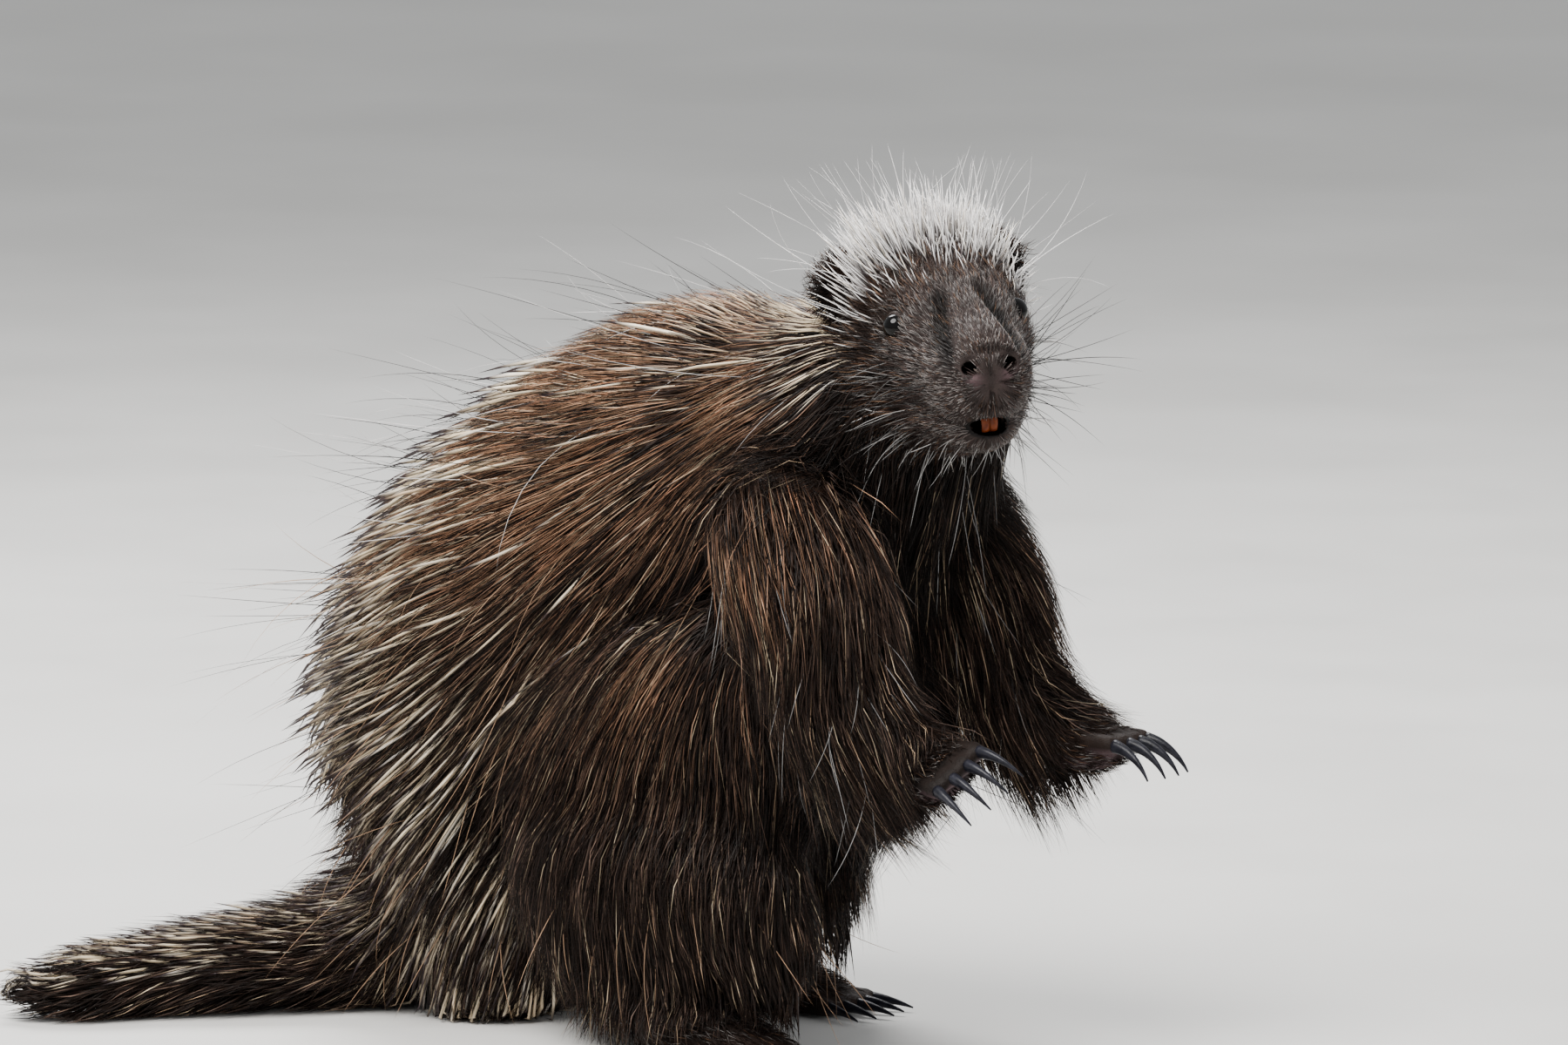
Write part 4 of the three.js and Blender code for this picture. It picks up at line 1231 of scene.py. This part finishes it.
def on_top(roots):
    return roots.up > 0.3


def on_rump(roots):
    return roots.out[:, 0] < -0.5


def on_side(roots):
    return roots.up < 0.5


def on_pad(roots):
    return inside(roots.head, (44, 78), (14, np.inf), (-np.inf, 2))


def on_cheek(roots):
    return inside(roots.head, (-16, 52), (18, np.inf), (-np.inf, -6))


def on_chin(roots):
    return inside(roots.head, (20, np.inf), (-1, np.inf), (-np.inf, -44))


# Each row is a body, how many hairs, their length, how far they stand, sag and curl, colour, where.
long_hair("long_hair", [
    ("head", 70, 96, 1.3, -0.1, 0.5, WHITE, on_crown),
    ("torso", 60, 120, 0.9, 0.1, 0.35, WHITE * 0.8, on_top),
    ("torso", 110, 120, 0.8, 0.2, 0.3, BLACK, on_top),
    ("torso", 90, 110, 1.0, 0.3, 0.3, BLACK, on_rump),
    ("torso", 170, 110, 0.75, 0.7, 0.4, TAN * 0.8, on_side),
    ("neck", 36, 76, 0.6, 0.7, 0.4, WHITE * 0.35, on_side),
    ("foreleg_left", 36, 66, 0.5, 0.5, 0.4, WHITE * 0.3, on_side),
    ("foreleg_right", 40, 66, 0.5, 0.5, 0.4, WHITE * 0.3, on_side),
    ("hindleg_right", 40, 80, 0.4, 0.3, 0.4, TAN * 0.7, on_side),
    ("hindleg_left", 40, 80, 0.4, 0.3, 0.4, TAN * 0.7, on_side),
    ("jaw", 12, 56, 0.8, 0.5, 0.5, WHITE * 0.5, on_side),
    ("head", 90, 44, 0.22, 0.35, 0.25, WHITE * 0.24, on_cheek),
    ("jaw", 70, 40, 0.22, 0.4, 0.25, WHITE * 0.24, on_cheek),
    ("jaw", 40, 24, 0.5, 0.6, 0.3, WHITE * 0.4, on_chin),
], 0.24)
long_hair("whiskers", [("head", 46, 76, 0.9, 0.1, 0.25, BLACK * 1.5, on_pad)], 0.22)

# Claws, eyes, lids, teeth
# opening and edge are degrees from the middle of the eye
LID = {"sides": 48, "rings": 9, "opening": 76, "edge": 96, "gap": 0.15, "thick": 1.15}
INCISOR_ARCH = 2.5  # how far the middle of an incisor bows forward


def add_form(name, points, faces):
    pieces[name] = new_object(name, new_mesh(name, points, faces))
    shade_smooth(pieces[name])


def lid_mesh(place):
    """Lids over an eye: a close cap with an almond opening and a rounded rim."""
    points = []
    sides, rings = LID["sides"], LID["rings"]
    for i in range(rings):
        share = i / (rings - 1)
        for j in range(sides):
            turn = 2 * math.pi * j / sides
            wide, high = math.cos(turn), math.sin(turn)
            opening = LID["opening"] - 7 * abs(high) - (4 if high > 0 else 0) * high**2
            polar = math.radians(opening + (LID["edge"] - opening) * share)
            rounded = math.sin(min(share * 2.6, 1.0) * math.pi / 2)
            lift = EYE["radius"] + LID["gap"] + LID["thick"] * rounded
            across = lift * math.sin(polar)
            points.append([lift * math.cos(polar), across * wide, across * high])
    return moved(place, np.array(points)), [face[::-1] for face in tube_faces(rings, sides)]


def incisor_loft(side):
    x, y, z = INCISOR["at"]
    stations = []
    for share, slim in ((-1, 1), (-0.6, 1), (-0.2, 1), (0.2, 1), (0.6, 1), (0.88, 0.8), (1, 0.4)):
        wide = INCISOR["half_width"] * (1 - 0.12 * max(share, 0))
        ahead = x + INCISOR_ARCH * (1 - share * share)
        low = z - share * INCISOR["height"] / 2
        stations.append([ahead, y * side, low, wide, INCISOR["half_thick"] * slim, 0])
    return Loft(stations, place=HEAD)


for node, loft in claw_forms.items():
    add_form("fine_" + node, *loft.mesh(16, 3))
for word in SIDES:
    add_form("ball_" + word, *ellipsoid(eyes[word], [EYE["radius"]] * 3, 32, 48))
    add_form("lids_" + word, *lid_mesh(eyes[word]))
add_form("teeth", *merged([incisor_loft(side).mesh(20, 3) for side in (1, -1)]))
pieces["skin"] = skin


# Materials
class Surface:
    """A procedural material on the Principled shader."""

    def __init__(self, name, specular):
        self.material = bpy.data.materials.new(name)
        self.material.use_nodes = True
        tree = self.material.node_tree
        self.nodes, self.links = tree.nodes, tree.links
        self.shader = self.nodes["Principled BSDF"]
        self.feed(self.shader, {"Specular IOR Level": specular})

    def feed(self, node, inputs):
        """Sets inputs to values, or links them to other nodes' outputs."""
        for key, value in inputs.items():
            if isinstance(value, bpy.types.NodeSocket):
                self.links.new(value, node.inputs[key])
            else:
                node.inputs[key].default_value = value

    def node(self, kind, inputs, output):
        made = self.nodes.new("ShaderNode" + kind)
        self.feed(made, inputs)
        return made.outputs[output]

    def noise(self, scale, detail=4.0):
        coords = self.node("TexCoord", {}, "Object")
        return self.node("TexNoise", {"Vector": coords, "Scale": scale, "Detail": detail}, "Fac")

    def uneven(self, scale, low, high):
        """A value that wanders from low to high by noise."""
        ends = {"From Min": 0.3, "From Max": 0.7, "To Min": low, "To Max": high}
        return self.node("MapRange", {**ends, "Value": self.noise(scale)}, "Result")

    def rough(self, scale, low, high):
        self.feed(self.shader, {"Roughness": self.uneven(scale, low, high)})

    def bumpy(self, depth, scale):
        height = {"Strength": 0.6, "Distance": depth, "Height": self.noise(scale, 6.0)}
        self.feed(self.shader, {"Normal": self.node("Bump", height, "Normal")})


def painted_material(name, scale, low, high, roughness, specular):
    """A surface that takes its colour from the Coat attribute, uneven by a fine noise."""
    made = Surface(name, specular)
    attribute = made.nodes.new("ShaderNodeAttribute")
    attribute.attribute_name = "Coat"
    tinted = made.nodes.new("ShaderNodeVectorMath")
    tinted.operation = "SCALE"
    made.feed(tinted, {0: attribute.outputs["Color"], "Scale": made.uneven(scale, low, high)})
    made.feed(made.shader, {"Base Color": tinted.outputs["Vector"]})
    made.rough(scale * 3, roughness - 0.05, roughness + 0.07)
    return made


def plain_material(name, dark, light, scale, roughness, specular):
    """A surface whose colour wanders between two by noise."""
    made = Surface(name, specular)
    ramp = made.nodes.new("ShaderNodeValToRGB")
    for element, position, colour in zip(ramp.color_ramp.elements, (0.35, 0.68), (dark, light)):
        element.position = position
        element.color = (*colour, 1.0)
    made.feed(ramp, {"Fac": made.noise(scale)})
    made.feed(made.shader, {"Base Color": ramp.outputs["Color"]})
    made.rough(scale * 2, roughness * 0.8, roughness * 1.2)
    return made


HAIR = painted_material("hair", 60.0, 0.7, 1.25, 0.42, 0.14)
QUILL = painted_material("quill", 120.0, 0.85, 1.12, 0.34, 0.45)
FUR = painted_material("short_fur", 90.0, 0.6, 1.3, 0.55, 0.1)
SKIN = painted_material("skin", 120.0, 0.6, 1.2, 0.62, 0.14)
SKIN.bumpy(0.0009, 900.0)
CLAW = plain_material("claw", (0.005, 0.005, 0.008), (0.016, 0.016, 0.022), 220.0, 0.34, 0.2)
CLAW.bumpy(0.0002, 700.0)
EYE_BALL = plain_material("eye", (0.0004, 0.0003, 0.0003), (0.0020, 0.0012, 0.0008), 60.0, 0.06, 0.2)
LIDS = plain_material("lids", (0.008, 0.0055, 0.005), (0.028, 0.019, 0.016), 500.0, 0.5, 0.12)
LIDS.bumpy(0.0003, 2200.0)
TEETH = plain_material("teeth", (0.06, 0.009, 0.0008), (0.12, 0.022, 0.002), 300.0, 0.42, 0.16)
TEETH.bumpy(0.0001, 700.0)
GROUND = plain_material("ground", (0.52, 0.51, 0.49), (0.58, 0.57, 0.55), 3.0, 0.85, 0.5)

# How a piece's name begins, its surface and its slot
LOOKS = [
    ("fine_claw", CLAW, "claw"),
    ("ball", EYE_BALL, "eye"),
    ("teeth", TEETH, "tooth"),
    ("skin", SKIN, "paw"),
    ("lids", LIDS, "face"),
    ("quills", QUILL, "coat"),
    ("fur_paws", FUR, "coat"),
    ("fur", FUR, "face"),
    ("whiskers", HAIR, "face"),
    ("", HAIR, "coat"),
]
FLESH = ["head", "neck", "torso", "tail"]
for word in SIDES:
    FLESH += [part + "_" + word for part in ("ear", "foreleg", "forepaw", "hindleg", "hindfoot")]
REPLACED = {"skin": FLESH, "teeth": ["incisors_upper"]}
REPLACED.update({"ball_" + word: ["eye_" + word] for word in SIDES})
REPLACED.update({"fine_" + node: [node] for node in claw_forms})
for name, piece in pieces.items():
    surface, part = next(look[1:] for look in LOOKS if name.startswith(look[0]))
    nodes = REPLACED.get(name, [])
    piece.data.materials.clear()
    piece.data.materials.append(surface.material)
    piece.data.polygons.foreach_set("material_index", [0] * len(piece.data.polygons))
    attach(piece, "root")
    if nodes:
        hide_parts(*nodes)

# Floor, light and camera
AZIMUTH = math.radians(35)  # the camera's, round the animal
ELEVATION = math.radians(8)
DISTANCE = 8.0
VIEW_CENTRE = [100, 285]  # millimetres along the view's right and up
SENSOR = 36  # millimetres
LENS = 320
LIGHT_DISTANCE = 2.6
FLOOR_CORNERS = np.array([[-30.0, -30, 0], [30, -30, 0], [30, 30, 0], [-30, 30, 0]])  # metres
floor = new_object("floor", new_mesh("floor", FLOOR_CORNERS, [(0, 1, 2, 3)], share_frame=False))
floor.data.materials.append(GROUND.material)
floor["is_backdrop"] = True

right = np.array([math.cos(AZIMUTH), math.sin(AZIMUTH), 0])
level = math.cos(ELEVATION)
ahead = np.array([-math.sin(AZIMUTH) * level, math.cos(AZIMUTH) * level, -math.sin(ELEVATION)])
above = np.cross(right, ahead)
middle = (right * VIEW_CENTRE[0] + above * VIEW_CENTRE[1]) * MM + SHIFT


def aim(made, at, way):
    made.location = at
    made.rotation_mode = "QUATERNION"
    made.rotation_quaternion = Vector([float(value) for value in way]).to_track_quat("-Z", "Y")


def add_light(name, way, size, power, colour=(1, 1, 1), glossy=True):
    """A soft area light. way is where it stands, as the view's right, up and toward the camera."""
    light = bpy.data.lights.new(name, "AREA")
    light.shape = "DISK"
    light.size = size
    light.energy = power
    light.color = colour
    made = new_object(name, light)
    stand = unit(right * way[0] + above * way[1] - ahead * way[2])
    aim(made, middle + stand * LIGHT_DISTANCE, -stand)
    made.visible_glossy = glossy
    made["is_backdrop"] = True


camera = new_object("camera", bpy.data.cameras.new("camera"))
aim(camera, middle - ahead * DISTANCE, ahead)
camera.data.sensor_width = SENSOR
camera.data.lens = LENS
bpy.context.scene.camera = camera
add_light("key", (-0.45, 1.0, 0.75), 1.8, 170, (1.0, 0.985, 0.96))
add_light("fill", (1.0, 0.35, 0.8), 2.0, 30, (0.95, 0.97, 1.0), glossy=False)
add_light("rim", (-0.25, 1.0, -0.6), 1.4, 115)

world = bpy.data.worlds.new("world")
world.use_nodes = True
backdrop = world.node_tree.nodes["Background"]
backdrop.inputs["Color"].default_value = (0.82, 0.84, 0.86, 1)
backdrop.inputs["Strength"].default_value = 0.85
bpy.context.scene.world = world

boxes = {"cad": cad_box, "visual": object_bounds()}
{name: [[float(value) for value in corner] for corner in box] for name, box in boxes.items()}
